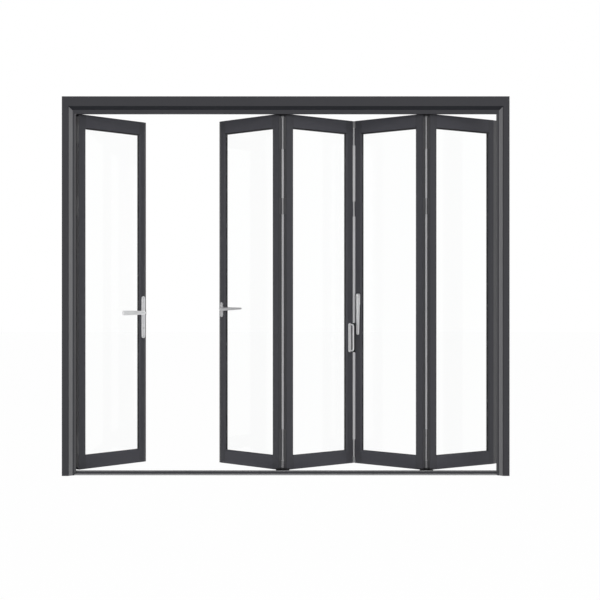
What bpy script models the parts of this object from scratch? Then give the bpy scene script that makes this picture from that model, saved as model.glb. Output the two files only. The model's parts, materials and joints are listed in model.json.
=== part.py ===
"""Five-leaf aluminium folding door, part open, in metres with +Z up.

The outer frame is a head, two jambs and a low sill. Leaf 1 is a swing door on the
left jamb. Leaves 2 to 5 are folded in a zigzag: pins behind joints 2/3 and 4/5 run
under the head track, and the pins of joint 3/4 stand on the inner side.
+X is to the right seen from inside, +Y is outward, and the origin is the bottom
centre of the frame, in the plane of the closed leaves' inner face.
"""
import math

import bpy
import bmesh
from mathutils import Matrix, Vector

# Clearances
TOUCH_GAP = 0.0003
RUNNING_GAP = 0.0005

# Outer frame
FRAME_WIDTH = 2.830
FRAME_HEIGHT = 2.400
FRAME_FRONT_Y = -0.050
FRAME_BACK_Y = 0.072
JAMB_LAND = 0.038
HEAD_LAND = 0.061
BEVEL = 0.022
JAMB_LIP = 0.013
HEAD_LIP = 0.025
LIP_BACK_Y = -0.006
REBATE_DEPTH = 0.018

# Sill
TREAD_HEIGHT = 0.018
UPSTAND_HEIGHT = 0.030
UPSTAND_FRONT_Y = -0.014
GROOVE_WIDTH = 0.012
GROOVE_DEPTH = 0.010
SILL_NOSE = 0.007

# Leaves
LEAF_COUNT = 5
LEAF_THICKNESS = 0.032
LEAF_BOTTOM = 0.030
LEAF_TOP_CLEARANCE = 0.012
LEAF_GAP = 0.006
END_GAP = 0.013
STILE_WIDTH = 0.0545
TOP_RAIL = 0.089
BOTTOM_RAIL = 0.0875
BEAD_WIDTH = 0.009
BEAD_DEPTH = 0.006
GLASS_THICKNESS = 0.008
GLASS_GROOVE_DEPTH = 0.012
GLASS_EDGE_COVER = 0.010
SEAL_RECESS_WIDTH = 0.013
SEAL_RECESS_DEPTH = 0.003

# Fold angles, in degrees from the closed plane
SWING_ANGLE = 46.5
LEAD_ANGLE = 40.0
FOLD_ANGLE = 37.0
END_ANGLE = 32.5
FIRST_FOLD_X = -0.022

# Hinges
PIN_OFFSET = 0.0065
BARREL_RADIUS = 0.0058
FLAP_THICKNESS = 0.002
FLAP_REACH = 0.025
# Each row: leaf end that it is measured from, distance of its middle from that end, length
TRACK_HINGE_ROWS = (("foot", 0.157, 0.200), ("head", 0.586, 0.105), ("head", 0.122, 0.200))
INNER_HINGE_ROWS = (("foot", 0.099, 0.115), ("head", 0.583, 0.100), ("head", 0.104, 0.115))
SWING_HINGE_ROWS = (("foot", 0.157, 0.120), ("head", 0.586, 0.120), ("head", 0.122, 0.120))
BARREL_SIDES = 16

# Track, carriers and guides
CHAMBER_WIDTH = 0.044
CHAMBER_HEIGHT = 0.042
SLOT_WIDTH = 0.016
SLOT_LIP = 0.008
ARM_LENGTH = 0.022
ARM_HEIGHT = 0.017
NOTCH_DEPTH = 0.0095
STEM_RADIUS = 0.005
WHEEL_RADIUS = 0.012
WHEEL_WIDTH = 0.0065
WHEEL_SPACING = 0.050
WHEEL_TRACK = 0.0285
TROLLEY_SIZE = (0.080, 0.023, 0.016)
GUIDE_PIN_RADIUS = 0.004
GUIDE_PIN_END = 0.0105

# Long plate and lever of the swing leaf
LONG_PLATE_SIZE = (0.028, 0.281)
LONG_PLATE_Z = 0.996
PLATE_THICKNESS = 0.009
PLATE_CHAMFER = 0.0015
SWING_LEVER_Z = 1.026
SWING_LEVER_LENGTH = 0.186
OUTER_LEVER_LENGTH = 0.112
LEVER_STANDOFF = 0.024
LEVER_ROOT_HEIGHT = 0.023
LEVER_TIP_HEIGHT = 0.029
LEVER_THICKNESS = 0.011
NECK_RADIUS = 0.009
COLLAR_RADIUS = 0.0135
COLLAR_LENGTH = 0.005

# Short plate and tapered lever of the lead leaf
SHORT_PLATE_SIZE = (0.025, 0.100)
SHORT_PLATE_Z = 1.047
LEAD_LEVER_Z = 1.051
LEAD_LEVER_LENGTH = 0.200
LEAD_ROOT_HEIGHT = 0.023
LEAD_TIP_HEIGHT = 0.012

# Pull handle of leaf 3
PULL_PLATE_SIZE = (0.023, 0.194)
PULL_Z = 0.862
PULL_PLATE_THICKNESS = 0.004
PULL_BAR_RADIUS = 0.005
PULL_STANDOFF = 0.040
PULL_BEND = 0.012

# Drop handle of leaf 4
DROP_X = 0.034
DROP_BASE_SIZE = (0.022, 0.080)
DROP_BASE_Z = 1.115
DROP_BASE_THICKNESS = 0.004
DROP_TOP_Z = 1.153
DROP_BOTTOM_Z = 0.882
DROP_PIVOT_Z = 1.130
DROP_TOP_WIDTH = 0.036
DROP_BOTTOM_WIDTH = 0.022
DROP_THICKNESS = 0.008
DROP_STANDOFF = 0.0135

# Derived places
HALF_WIDTH = FRAME_WIDTH / 2
REBATE_X = HALF_WIDTH - (JAMB_LAND + BEVEL + JAMB_LIP) + REBATE_DEPTH
LIP_X = HALF_WIDTH - (JAMB_LAND + BEVEL + JAMB_LIP)
LIP_FRONT_Y = FRAME_FRONT_Y + BEVEL
HEAD_LIP_Z = FRAME_HEIGHT - (HEAD_LAND + BEVEL + HEAD_LIP)
HEAD_UNDERSIDE_Z = HEAD_LIP_Z + REBATE_DEPTH
LEAF_TOP = HEAD_UNDERSIDE_Z - LEAF_TOP_CLEARANCE
LEAF_WIDTH = (2 * (REBATE_X - END_GAP) - (LEAF_COUNT - 1) * LEAF_GAP) / LEAF_COUNT
PIN_Y = LEAF_THICKNESS + PIN_OFFSET
SWING_PIN_X = -(REBATE_X - END_GAP / 2)
FIRST_INNER = math.radians(FOLD_ANGLE)
FOLD_STEP = ((LEAF_WIDTH + LEAF_GAP) * math.cos(FIRST_INNER)
             + (LEAF_THICKNESS + 2 * PIN_OFFSET) * math.sin(FIRST_INNER))
FOLD_REACH = ((LEAF_WIDTH + LEAF_GAP) * math.sin(FIRST_INNER)
              - (LEAF_THICKNESS + 2 * PIN_OFFSET) * math.cos(FIRST_INNER))
LAST_FOLD_X = FIRST_FOLD_X + 2 * FOLD_STEP
CHAMBER_FLOOR_Z = HEAD_UNDERSIDE_Z + SLOT_LIP

# Finishes: colour, roughness, metallic
GRAPHITE = ("graphite_frame", (0.056, 0.056, 0.061, 1.0), 0.45, 0.0)
GLASS = ("clear_glass", (0.95, 0.97, 0.97, 1.0), 0.02, 0.0)
SILVER = ("satin_silver", (0.62, 0.62, 0.63, 1.0), 0.30, 1.0)
BLACK = ("black_plastic", (0.012, 0.012, 0.013, 1.0), 0.50, 0.0)


def clear_scene():
    for item in list(bpy.data.objects):
        bpy.data.objects.remove(item, do_unlink=True)


def finish(spec):
    """Return the material of a finish, made once."""
    name, colour, roughness, metallic = spec
    material = bpy.data.materials.get(name)
    if material is None:
        material = bpy.data.materials.new(name)
        material.use_nodes = True
        shader = material.node_tree.nodes["Principled BSDF"]
        shader.inputs["Base Color"].default_value = colour
        shader.inputs["Roughness"].default_value = roughness
        shader.inputs["Metallic"].default_value = metallic
        material.diffuse_color = colour
    return material


def loft(sections, axis):
    """Skin equal-count outlines, each at a place along an axis, into one closed mesh."""
    order = {"X": (2, 0, 1), "Y": (0, 2, 1), "Z": (0, 1, 2)}[axis]
    shape = bmesh.new()
    rings = []
    for place, outline in sections:
        ring = []
        for first, second in outline:
            values = (first, second, place)
            ring.append(shape.verts.new([values[index] for index in order]))
        rings.append(ring)
    count = len(rings[0])
    for near, far in zip(rings, rings[1:]):
        for index in range(count):
            after = (index + 1) % count
            shape.faces.new((near[index], near[after], far[after], far[index]))
    shape.faces.new(rings[0])
    shape.faces.new(rings[-1])
    bmesh.ops.recalc_face_normals(shape, faces=shape.faces)
    mesh = bpy.data.meshes.new("loft")
    shape.to_mesh(mesh)
    shape.free()
    return mesh


def prism(outline, axis, start, end):
    return loft([(start, outline), (end, outline)], axis)


def box(low, high):
    outline = [(low[0], low[1]), (high[0], low[1]), (high[0], high[1]), (low[0], high[1])]
    return prism(outline, "Z", low[2], high[2])


def circle(centre, radius, sides):
    points = []
    for index in range(sides):
        angle = 2 * math.pi * (index + 0.5) / sides
        points.append((centre[0] + radius * math.cos(angle), centre[1] + radius * math.sin(angle)))
    return points


def slot_outline(centre, width, height, steps=5):
    """Upright slot with round ends, as (across, up) points."""
    radius = width / 2
    points = []
    for side, turn in ((1, 0.0), (-1, math.pi)):
        middle = centre[1] + side * (height / 2 - radius)
        for index in range(steps + 1):
            angle = turn + math.pi * index / steps
            points.append((centre[0] + radius * math.cos(angle), middle + radius * math.sin(angle)))
    return points


def rounded_box_outline(centre, width, height, radius, steps=2):
    points = []
    corners = ((1, 1, 0), (-1, 1, 90), (-1, -1, 180), (1, -1, 270))
    for across, up, turn in corners:
        middle = (centre[0] + across * (width / 2 - radius), centre[1] + up * (height / 2 - radius))
        for index in range(steps + 1):
            angle = math.radians(turn + 90 * index / steps)
            points.append((middle[0] + radius * math.cos(angle), middle[1] + radius * math.sin(angle)))
    return points


def swept_rod(path, radius, sides):
    """Round rod along a path that lies in one plane across X."""
    shape = bmesh.new()
    rings = []
    across = Vector((1, 0, 0))
    for index, point in enumerate(path):
        before = path[max(index - 1, 0)]
        after = path[min(index + 1, len(path) - 1)]
        outward = (after - before).normalized().cross(across)
        ring = []
        for step in range(sides):
            angle = 2 * math.pi * (step + 0.5) / sides
            offset = across * math.cos(angle) + outward * math.sin(angle)
            ring.append(shape.verts.new(point + offset * radius))
        rings.append(ring)
    for near, far in zip(rings, rings[1:]):
        for index in range(sides):
            after = (index + 1) % sides
            shape.faces.new((near[index], near[after], far[after], far[index]))
    shape.faces.new(rings[0])
    shape.faces.new(rings[-1])
    bmesh.ops.recalc_face_normals(shape, faces=shape.faces)
    mesh = bpy.data.meshes.new("rod")
    shape.to_mesh(mesh)
    shape.free()
    return mesh


def moved(mesh, matrix):
    mesh.transform(matrix)
    return mesh


def combined(base, others, operation):
    """Join or cut closed meshes in turn and return the result as a new mesh."""
    link = bpy.context.collection.objects.link
    body = bpy.data.objects.new("body", base)
    link(body)
    tools = []
    for mesh in others:
        tool = bpy.data.objects.new("tool", mesh)
        link(tool)
        tools.append(tool)
        step = body.modifiers.new("step", "BOOLEAN")
        step.operation = operation
        step.object = tool
    graph = bpy.context.evaluated_depsgraph_get()
    result = bpy.data.meshes.new_from_object(body.evaluated_get(graph))
    for item in tools + [body]:
        bpy.data.objects.remove(item, do_unlink=True)
    return result


def joined(base, *others):
    return combined(base, others, "UNION")


def cut(base, *others):
    return combined(base, others, "DIFFERENCE")


def piece(name, mesh, spec, parent=None, location=(0, 0, 0), smooth=False):
    """Make one named sub-part, with its finish, on its parent."""
    item = bpy.data.objects.new(name, mesh)
    bpy.context.collection.objects.link(item)
    mesh.materials.clear()
    mesh.materials.append(finish(spec))
    if smooth:
        mesh.shade_smooth()
        mesh.set_sharp_from_angle(angle=math.radians(35))
    item.location = location
    item.parent = parent
    return item


def pin_empty(name, x, angle):
    """Empty on a vertical pin in the track plane, turned by the leaf's fold angle."""
    empty = bpy.data.objects.new(name, None)
    bpy.context.collection.objects.link(empty)
    empty.location = (x, PIN_Y, 0)
    empty.rotation_euler = (0, 0, math.radians(angle))
    return empty


# Outer frame

def bevel_cutter():
    """Space in front of the lips, sloping out to the front like a picture frame."""
    margin = 0.001
    def outline(spread):
        side = HALF_WIDTH - JAMB_LAND - BEVEL + spread
        top = FRAME_HEIGHT - HEAD_LAND - BEVEL + spread
        return [(-side, -margin), (side, -margin), (side, top), (-side, top)]
    return loft([(FRAME_FRONT_Y - margin, outline(BEVEL + margin)), (LIP_FRONT_Y, outline(0))], "Y")


def rebate_cutter():
    margin = 0.001
    return box((-REBATE_X, LIP_BACK_Y, -margin), (REBATE_X, FRAME_BACK_Y + margin, HEAD_UNDERSIDE_Z))


def frame_head():
    land_z = FRAME_HEIGHT - HEAD_LAND
    bevel_x = HALF_WIDTH - JAMB_LAND
    outline = [
        (-HALF_WIDTH, FRAME_HEIGHT), (-HALF_WIDTH, land_z), (-bevel_x, land_z),
        (-bevel_x + BEVEL, land_z - BEVEL), (-LIP_X, HEAD_LIP_Z), (LIP_X, HEAD_LIP_Z),
        (bevel_x - BEVEL, land_z - BEVEL), (bevel_x, land_z), (HALF_WIDTH, land_z),
        (HALF_WIDTH, FRAME_HEIGHT)]
    block = prism(outline, "Y", FRAME_FRONT_Y, FRAME_BACK_Y)
    end = REBATE_X
    slot = box((-end, PIN_Y - SLOT_WIDTH / 2, HEAD_LIP_Z),
               (end, PIN_Y + SLOT_WIDTH / 2, CHAMBER_FLOOR_Z + 0.001))
    chamber = box((-end, PIN_Y - CHAMBER_WIDTH / 2, CHAMBER_FLOOR_Z),
                  (end, PIN_Y + CHAMBER_WIDTH / 2, CHAMBER_FLOOR_Z + CHAMBER_HEIGHT))
    piece("frame_head", cut(block, bevel_cutter(), rebate_cutter(), slot, chamber), GRAPHITE)


def frame_jamb(name, side):
    land_z = FRAME_HEIGHT - HEAD_LAND - TOUCH_GAP
    bevel_x = HALF_WIDTH - JAMB_LAND
    head_lip_z = HEAD_LIP_Z - TOUCH_GAP
    outline = [
        (side * HALF_WIDTH, 0), (side * HALF_WIDTH, land_z), (side * bevel_x, land_z),
        (side * (bevel_x - BEVEL), land_z - BEVEL), (side * LIP_X, head_lip_z), (side * LIP_X, 0)]
    block = prism(outline, "Y", FRAME_FRONT_Y, FRAME_BACK_Y)
    piece(name, cut(block, bevel_cutter(), rebate_cutter()), GRAPHITE)


def frame_sill():
    end = REBATE_X - TOUCH_GAP
    groove_low = PIN_Y - GROOVE_WIDTH / 2
    groove_high = PIN_Y + GROOVE_WIDTH / 2
    edge = 0.0015
    profile = [
        (UPSTAND_FRONT_Y, 0), (FRAME_BACK_Y, 0), (FRAME_BACK_Y, TREAD_HEIGHT - SILL_NOSE),
        (FRAME_BACK_Y - SILL_NOSE, TREAD_HEIGHT), (groove_high, TREAD_HEIGHT),
        (groove_high, TREAD_HEIGHT - GROOVE_DEPTH), (groove_low, TREAD_HEIGHT - GROOVE_DEPTH),
        (groove_low, TREAD_HEIGHT), (LIP_BACK_Y, TREAD_HEIGHT), (LIP_BACK_Y, UPSTAND_HEIGHT - edge),
        (LIP_BACK_Y - edge, UPSTAND_HEIGHT), (UPSTAND_FRONT_Y + edge, UPSTAND_HEIGHT),
        (UPSTAND_FRONT_Y, UPSTAND_HEIGHT - edge)]
    bar = prism(profile, "X", -end, end)
    notches = []
    for side in (-1, 1):
        x_values = sorted((side * (LIP_X - TOUCH_GAP), side * (end + 0.01)))
        notches.append(box((x_values[0], UPSTAND_FRONT_Y - 0.01, -0.01),
                           (x_values[1], LIP_BACK_Y + TOUCH_GAP, UPSTAND_HEIGHT + 0.01)))
    piece("frame_sill", cut(bar, *notches), GRAPHITE)


# Leaves. Their meshes run from x 0 to LEAF_WIDTH and y 0 (inner face) to LEAF_THICKNESS.

def bead_cutter(outward):
    """Sloped space of the glazing bead round the pane, on the inner or the outer face."""
    margin = 0.001
    slope = BEAD_WIDTH / BEAD_DEPTH
    def outline(depth):
        spread = BEAD_WIDTH - depth * slope
        left = STILE_WIDTH - spread
        right = LEAF_WIDTH - STILE_WIDTH + spread
        low = LEAF_BOTTOM + BOTTOM_RAIL - spread
        high = LEAF_TOP - TOP_RAIL + spread
        return [(left, low), (right, low), (right, high), (left, high)]
    sections = []
    for depth in (-margin, BEAD_DEPTH + margin):
        y = LEAF_THICKNESS - depth if outward else depth
        sections.append((y, outline(depth)))
    return loft(sections, "Y")


def grooved_profile(width):
    """Section of a leaf bar: outer edge at 0, glass groove in the edge at width."""
    low = (LEAF_THICKNESS - GLASS_THICKNESS) / 2 - TOUCH_GAP
    high = LEAF_THICKNESS - low
    floor = width - GLASS_GROOVE_DEPTH
    return [(0, 0), (width, 0), (width, low), (floor, low), (floor, high), (width, high),
            (width, LEAF_THICKNESS), (0, LEAF_THICKNESS)]


def corner_notches(left_side):
    """Cutters that let a carrier and a guide block into a stile's top and bottom corner."""
    margin = 0.01
    reach = ARM_LENGTH + TOUCH_GAP
    low_x = -margin if left_side else LEAF_WIDTH - reach
    high_x = reach if left_side else LEAF_WIDTH + margin
    cutters = []
    for low_z, high_z in ((LEAF_TOP - NOTCH_DEPTH, LEAF_TOP + margin),
                          (LEAF_BOTTOM - margin, LEAF_BOTTOM + NOTCH_DEPTH)):
        cutters.append(box((low_x, -margin, low_z), (high_x, LEAF_THICKNESS + margin, high_z)))
    return cutters


def seal_recess(left_side):
    """Cutter of the shallow recess for a seal, in the inner face along a free edge."""
    margin = 0.01
    low_x = -margin if left_side else LEAF_WIDTH - SEAL_RECESS_WIDTH
    high_x = SEAL_RECESS_WIDTH if left_side else LEAF_WIDTH + margin
    return box((low_x, -margin, LEAF_BOTTOM - margin), (high_x, SEAL_RECESS_DEPTH, LEAF_TOP + margin))


def stile_mesh(left_side, edge):
    """Stile whose outer edge is plain, notched for a carrier and a guide, or free with a seal."""
    profile = grooved_profile(STILE_WIDTH)
    if not left_side:
        profile = [(LEAF_WIDTH - across, depth) for across, depth in profile]
    cutters = [bead_cutter(False), bead_cutter(True)]
    if edge == "notched":
        cutters += corner_notches(left_side)
    elif edge == "free":
        cutters.append(seal_recess(left_side))
    return cut(prism(profile, "Z", LEAF_BOTTOM, LEAF_TOP), *cutters)


def rail_mesh(top):
    width = TOP_RAIL if top else BOTTOM_RAIL
    outline = []
    for across, depth in grooved_profile(width):
        z = LEAF_TOP - across if top else LEAF_BOTTOM + across
        outline.append((depth, z))
    start = STILE_WIDTH + TOUCH_GAP
    bar = prism(outline, "X", start, LEAF_WIDTH - start)
    return cut(bar, bead_cutter(False), bead_cutter(True))


def glass_mesh():
    side = STILE_WIDTH - GLASS_EDGE_COVER
    low_y = (LEAF_THICKNESS - GLASS_THICKNESS) / 2
    return box((side, low_y, LEAF_BOTTOM + BOTTOM_RAIL - GLASS_EDGE_COVER),
               (LEAF_WIDTH - side, low_y + GLASS_THICKNESS, LEAF_TOP - TOP_RAIL + GLASS_EDGE_COVER))


def leaf(number, pin, pin_on_left, end_gap, edges, shared):
    """Place the five pieces of a leaf on its pin and return its shift from the pin."""
    x = end_gap if pin_on_left else -(end_gap + LEAF_WIDTH)
    shift = Vector((x, -PIN_Y, 0))
    name = f"leaf{number}_"
    left_edge, right_edge = edges
    piece(name + "left_stile", shared["left", left_edge].copy(), GRAPHITE, pin, shift)
    piece(name + "right_stile", shared["right", right_edge].copy(), GRAPHITE, pin, shift)
    piece(name + "top_rail", shared["top"].copy(), GRAPHITE, pin, shift)
    piece(name + "bottom_rail", shared["bottom"].copy(), GRAPHITE, pin, shift)
    piece(name + "glass", shared["glass"].copy(), GLASS, pin, shift)
    return shift


def shared_leaf_meshes():
    shared = {"top": rail_mesh(True), "bottom": rail_mesh(False), "glass": glass_mesh()}
    for edge in ("plain", "notched", "free"):
        shared["left", edge] = stile_mesh(True, edge)
        shared["right", edge] = stile_mesh(False, edge)
    return shared


# Hinges, drawn about their own pin with the leaf on +X and its face on -Y

def barrel(low, high):
    return prism(circle((0, 0), BARREL_RADIUS, BARREL_SIDES), "Z", low, high)


def flap(edge_x, low, high, start_y):
    """Flap on a leaf edge that stands edge_x from the pin."""
    outer = edge_x - TOUCH_GAP
    return box((outer - FLAP_THICKNESS, -(PIN_OFFSET + FLAP_REACH), low), (outer, start_y, high))


def hinge_span(row):
    """Lowest and highest point of a hinge, from its row."""
    end, distance, length = row
    z = LEAF_BOTTOM + distance if end == "foot" else LEAF_TOP - distance
    return z - length / 2, z + length / 2


def fold_hinge(name, x, y, row, turns, inner):
    """Hinge of two folded leaves, one solid: a barrel and a flap to either side."""
    low, high = hinge_span(row)
    mesh = barrel(low, high)
    for side, turn in ((-1, turns[0]), (1, turns[1])):
        part = flap(LEAF_GAP / 2, low + RUNNING_GAP, high - RUNNING_GAP, -RUNNING_GAP)
        mirror = Matrix.Diagonal((side, -1 if inner else 1, 1, 1))
        part.transform(mirror)
        if mirror.determinant() < 0:
            part.flip_normals()
        moved(part, Matrix.Rotation(math.radians(turn), 4, "Z"))
        mesh = joined(mesh, part)
    piece(name, mesh, SILVER, None, (x, y, 0), smooth=True)


def swing_hinge(number, row, pin):
    """Hinge of the swing leaf: jamb half with the outer knuckles, leaf half with the middle one."""
    low, high = hinge_span(row)
    first = low + (high - low) / 3
    second = high - (high - low) / 3
    clear_y = -(BARREL_RADIUS + 2 * RUNNING_GAP)
    jamb_half = flap(END_GAP / 2, low, high, clear_y)
    parts = []
    for start, end in ((low, first - RUNNING_GAP), (second + RUNNING_GAP, high)):
        parts.append(flap(END_GAP / 2, start, end, -RUNNING_GAP))
        parts.append(barrel(start, end))
    jamb_half = joined(jamb_half, *parts)
    jamb_half.transform(Matrix.Diagonal((-1, 1, 1, 1)))
    jamb_half.flip_normals()
    piece(f"jamb_hinge_{number}", jamb_half, SILVER, None, (SWING_PIN_X, PIN_Y, 0), smooth=True)
    leaf_half = flap(END_GAP / 2, low, high, clear_y)
    leaf_half = joined(leaf_half, flap(END_GAP / 2, first, second, -RUNNING_GAP), barrel(first, second))
    piece(f"swing_hinge_{number}", leaf_half, SILVER, pin, (0, 0, 0), smooth=True)


# Carriers and guides

def corner_arm(side, turn, low, high):
    """Black block let into a leaf corner, flush with both leaf faces."""
    inset = TOUCH_GAP
    near = 0.0 if side > 0 else -(LEAF_GAP / 2 + ARM_LENGTH)
    far = LEAF_GAP / 2 + ARM_LENGTH if side > 0 else 0.0
    arm = box((near, -PIN_Y + inset, low), (far, -PIN_OFFSET - inset, high))
    return moved(arm, Matrix.Rotation(math.radians(turn), 4, "Z"))


def corner_block(turns, low, high):
    """Both arms and the round boss on the pin, in one solid."""
    boss = prism(circle((0, 0), 2 * BARREL_RADIUS, BARREL_SIDES), "Z", low, high)
    return joined(boss, corner_arm(-1, turns[0], low, high), corner_arm(1, turns[1], low, high))


def track_carrier(name, x, turns):
    low = LEAF_TOP - NOTCH_DEPTH + TOUCH_GAP
    wheel_z = CHAMBER_FLOOR_Z + WHEEL_RADIUS + TOUCH_GAP
    parts = [prism(circle((0, 0), STEM_RADIUS, BARREL_SIDES), "Z", low + ARM_HEIGHT / 2, wheel_z)]
    half = [size / 2 for size in TROLLEY_SIZE]
    parts.append(box((-half[0], -half[1], wheel_z - half[2]), (half[0], half[1], wheel_z + half[2])))
    for across in (-1, 1):
        for along in (-1, 1):
            centre = (along * WHEEL_SPACING / 2, wheel_z)
            middle = across * WHEEL_TRACK / 2
            parts.append(prism(circle(centre, WHEEL_RADIUS, BARREL_SIDES), "Y",
                               middle - WHEEL_WIDTH / 2, middle + WHEEL_WIDTH / 2))
    mesh = joined(corner_block(turns, low, low + ARM_HEIGHT), *parts)
    piece(name, mesh, BLACK, None, (x, PIN_Y, 0), smooth=True)


def sill_guide(name, x, turns):
    high = LEAF_BOTTOM + NOTCH_DEPTH - TOUCH_GAP
    pin = prism(circle((0, 0), GUIDE_PIN_RADIUS, BARREL_SIDES), "Z", GUIDE_PIN_END, high - 0.002)
    mesh = joined(corner_block(turns, high - ARM_HEIGHT, high), pin)
    piece(name, mesh, BLACK, None, (x, PIN_Y, 0), smooth=True)


# Handles, drawn in the leaf's own place: x across the leaf, inner face at y 0

def face_plate(centre, size, thickness, face_y, outward):
    """Plate with round ends and a chamfered front edge, on a leaf face."""
    back = face_y + outward * TOUCH_GAP
    shoulder = back + outward * (thickness - PLATE_CHAMFER)
    front = back + outward * thickness
    full = slot_outline(centre, size[0], size[1])
    small = slot_outline(centre, size[0] - 2 * PLATE_CHAMFER, size[1] - 2 * PLATE_CHAMFER)
    return loft([(back, full), (shoulder, full), (front, small)], "Y")


def lever_mesh(centre, reach, root_height, tip_height, plate_y, outward):
    """Lever: collar and neck out of the plate, grip along the leaf with a rounded tip."""
    start = plate_y + outward * RUNNING_GAP
    grip_y = plate_y + outward * LEVER_STANDOFF
    collar_end = start + outward * COLLAR_LENGTH
    collar = prism(circle(centre, COLLAR_RADIUS, 20), "Y", start, collar_end)
    neck = prism(circle(centre, NECK_RADIUS, 20), "Y", start + outward * COLLAR_LENGTH / 2, grip_y)
    stops = ((-0.075, 0.70), (-0.05, 0.93), (0.0, 1.0), (0.90, 1.0), (0.965, 0.90), (1.0, 0.62))
    sections = []
    for fraction, scale in stops:
        height = (root_height + (tip_height - root_height) * max(fraction, 0)) * scale
        depth = LEVER_THICKNESS * scale
        outline = rounded_box_outline((grip_y, centre[1]), depth, height, 0.35 * depth)
        sections.append((centre[0] + reach * fraction, outline))
    return joined(loft(sections, "X"), neck, collar)


def swing_handles(pin, shift):
    """Long plates and levers on both faces of the swing leaf."""
    x = LEAF_WIDTH - STILE_WIDTH / 2
    faces = (("inside", 0.0, -1, SWING_LEVER_LENGTH), ("outside", LEAF_THICKNESS, 1, OUTER_LEVER_LENGTH))
    for face, face_y, outward, length in faces:
        plate = face_plate((x, LONG_PLATE_Z), LONG_PLATE_SIZE, PLATE_THICKNESS, face_y, outward)
        piece(f"swing_plate_{face}", plate, SILVER, pin, shift, smooth=True)
        plate_y = face_y + outward * (PLATE_THICKNESS + TOUCH_GAP)
        lever = lever_mesh((x, SWING_LEVER_Z), -length, LEVER_ROOT_HEIGHT, LEVER_TIP_HEIGHT, plate_y, outward)
        axis_place = Vector((x, 0, SWING_LEVER_Z))
        moved(lever, Matrix.Translation(-axis_place))
        piece(f"swing_lever_{face}", lever, SILVER, pin, shift + axis_place, smooth=True)


def lead_handle(pin, shift):
    x = STILE_WIDTH / 2
    plate = face_plate((x, SHORT_PLATE_Z), SHORT_PLATE_SIZE, PLATE_THICKNESS, 0.0, -1)
    piece("lead_plate", plate, SILVER, pin, shift, smooth=True)
    plate_y = -(PLATE_THICKNESS + TOUCH_GAP)
    lever = lever_mesh((x, LEAD_LEVER_Z), LEAD_LEVER_LENGTH, LEAD_ROOT_HEIGHT, LEAD_TIP_HEIGHT, plate_y, -1)
    axis_place = Vector((x, 0, LEAD_LEVER_Z))
    moved(lever, Matrix.Translation(-axis_place))
    piece("lead_lever", lever, SILVER, pin, shift + axis_place, smooth=True)


def pull_handle(pin, shift):
    """D-shaped pull: a long plate and a round bar with two bends."""
    x = LEAF_WIDTH - STILE_WIDTH / 2
    plate = face_plate((x, PULL_Z), PULL_PLATE_SIZE, PULL_PLATE_THICKNESS, 0.0, -1)
    reach = PULL_PLATE_SIZE[1] / 2 - 2 * PULL_BAR_RADIUS
    start_y = -PULL_PLATE_THICKNESS / 2
    path = [Vector((x, start_y, PULL_Z - reach))]
    for side in (-1, 1):
        for index in range(5):
            angle = math.radians(90 * index / 4)
            if side > 0:
                angle = math.radians(90) - angle
            path.append(Vector((x, -PULL_STANDOFF + PULL_BEND * (1 - math.sin(angle)),
                                PULL_Z + side * (reach - PULL_BEND * (1 - math.cos(angle))))))
    path.append(Vector((x, start_y, PULL_Z + reach)))
    piece("pull_handle", joined(plate, swept_rod(path, PULL_BAR_RADIUS, 12)), SILVER, pin, shift, smooth=True)


def drop_handle(pin, shift):
    """Base on leaf 4 and a flat tapered handle hanging from it."""
    x = DROP_X
    base = face_plate((x, DROP_BASE_Z), DROP_BASE_SIZE, DROP_BASE_THICKNESS, 0.0, -1)
    piece("drop_base", base, SILVER, pin, shift, smooth=True)
    front = -(DROP_STANDOFF + DROP_THICKNESS / 2)
    length = DROP_TOP_Z - DROP_BOTTOM_Z
    stops = ((0.0, 0.60), (0.018, 0.90), (0.05, 1.0), (0.55, 1.0), (0.93, 1.0), (0.975, 0.85), (1.0, 0.50))
    sections = []
    for fraction, scale in stops:
        width = (DROP_TOP_WIDTH + (DROP_BOTTOM_WIDTH - DROP_TOP_WIDTH) * fraction) * scale
        depth = DROP_THICKNESS * (0.6 + 0.4 * scale)
        outline = rounded_box_outline((x, -DROP_STANDOFF), width, depth, 0.45 * depth)
        sections.append((DROP_TOP_Z - length * fraction, outline))
    start = -(DROP_BASE_THICKNESS + TOUCH_GAP + RUNNING_GAP)
    neck = prism(circle((x, DROP_PIVOT_Z), NECK_RADIUS, 20), "Y", start, front + DROP_THICKNESS / 2)
    handle = joined(loft(sections, "Z"), neck)
    axis_place = Vector((x, 0, DROP_PIVOT_Z))
    moved(handle, Matrix.Translation(-axis_place))
    piece("drop_lever", handle, SILVER, pin, shift + axis_place, smooth=True)


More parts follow.
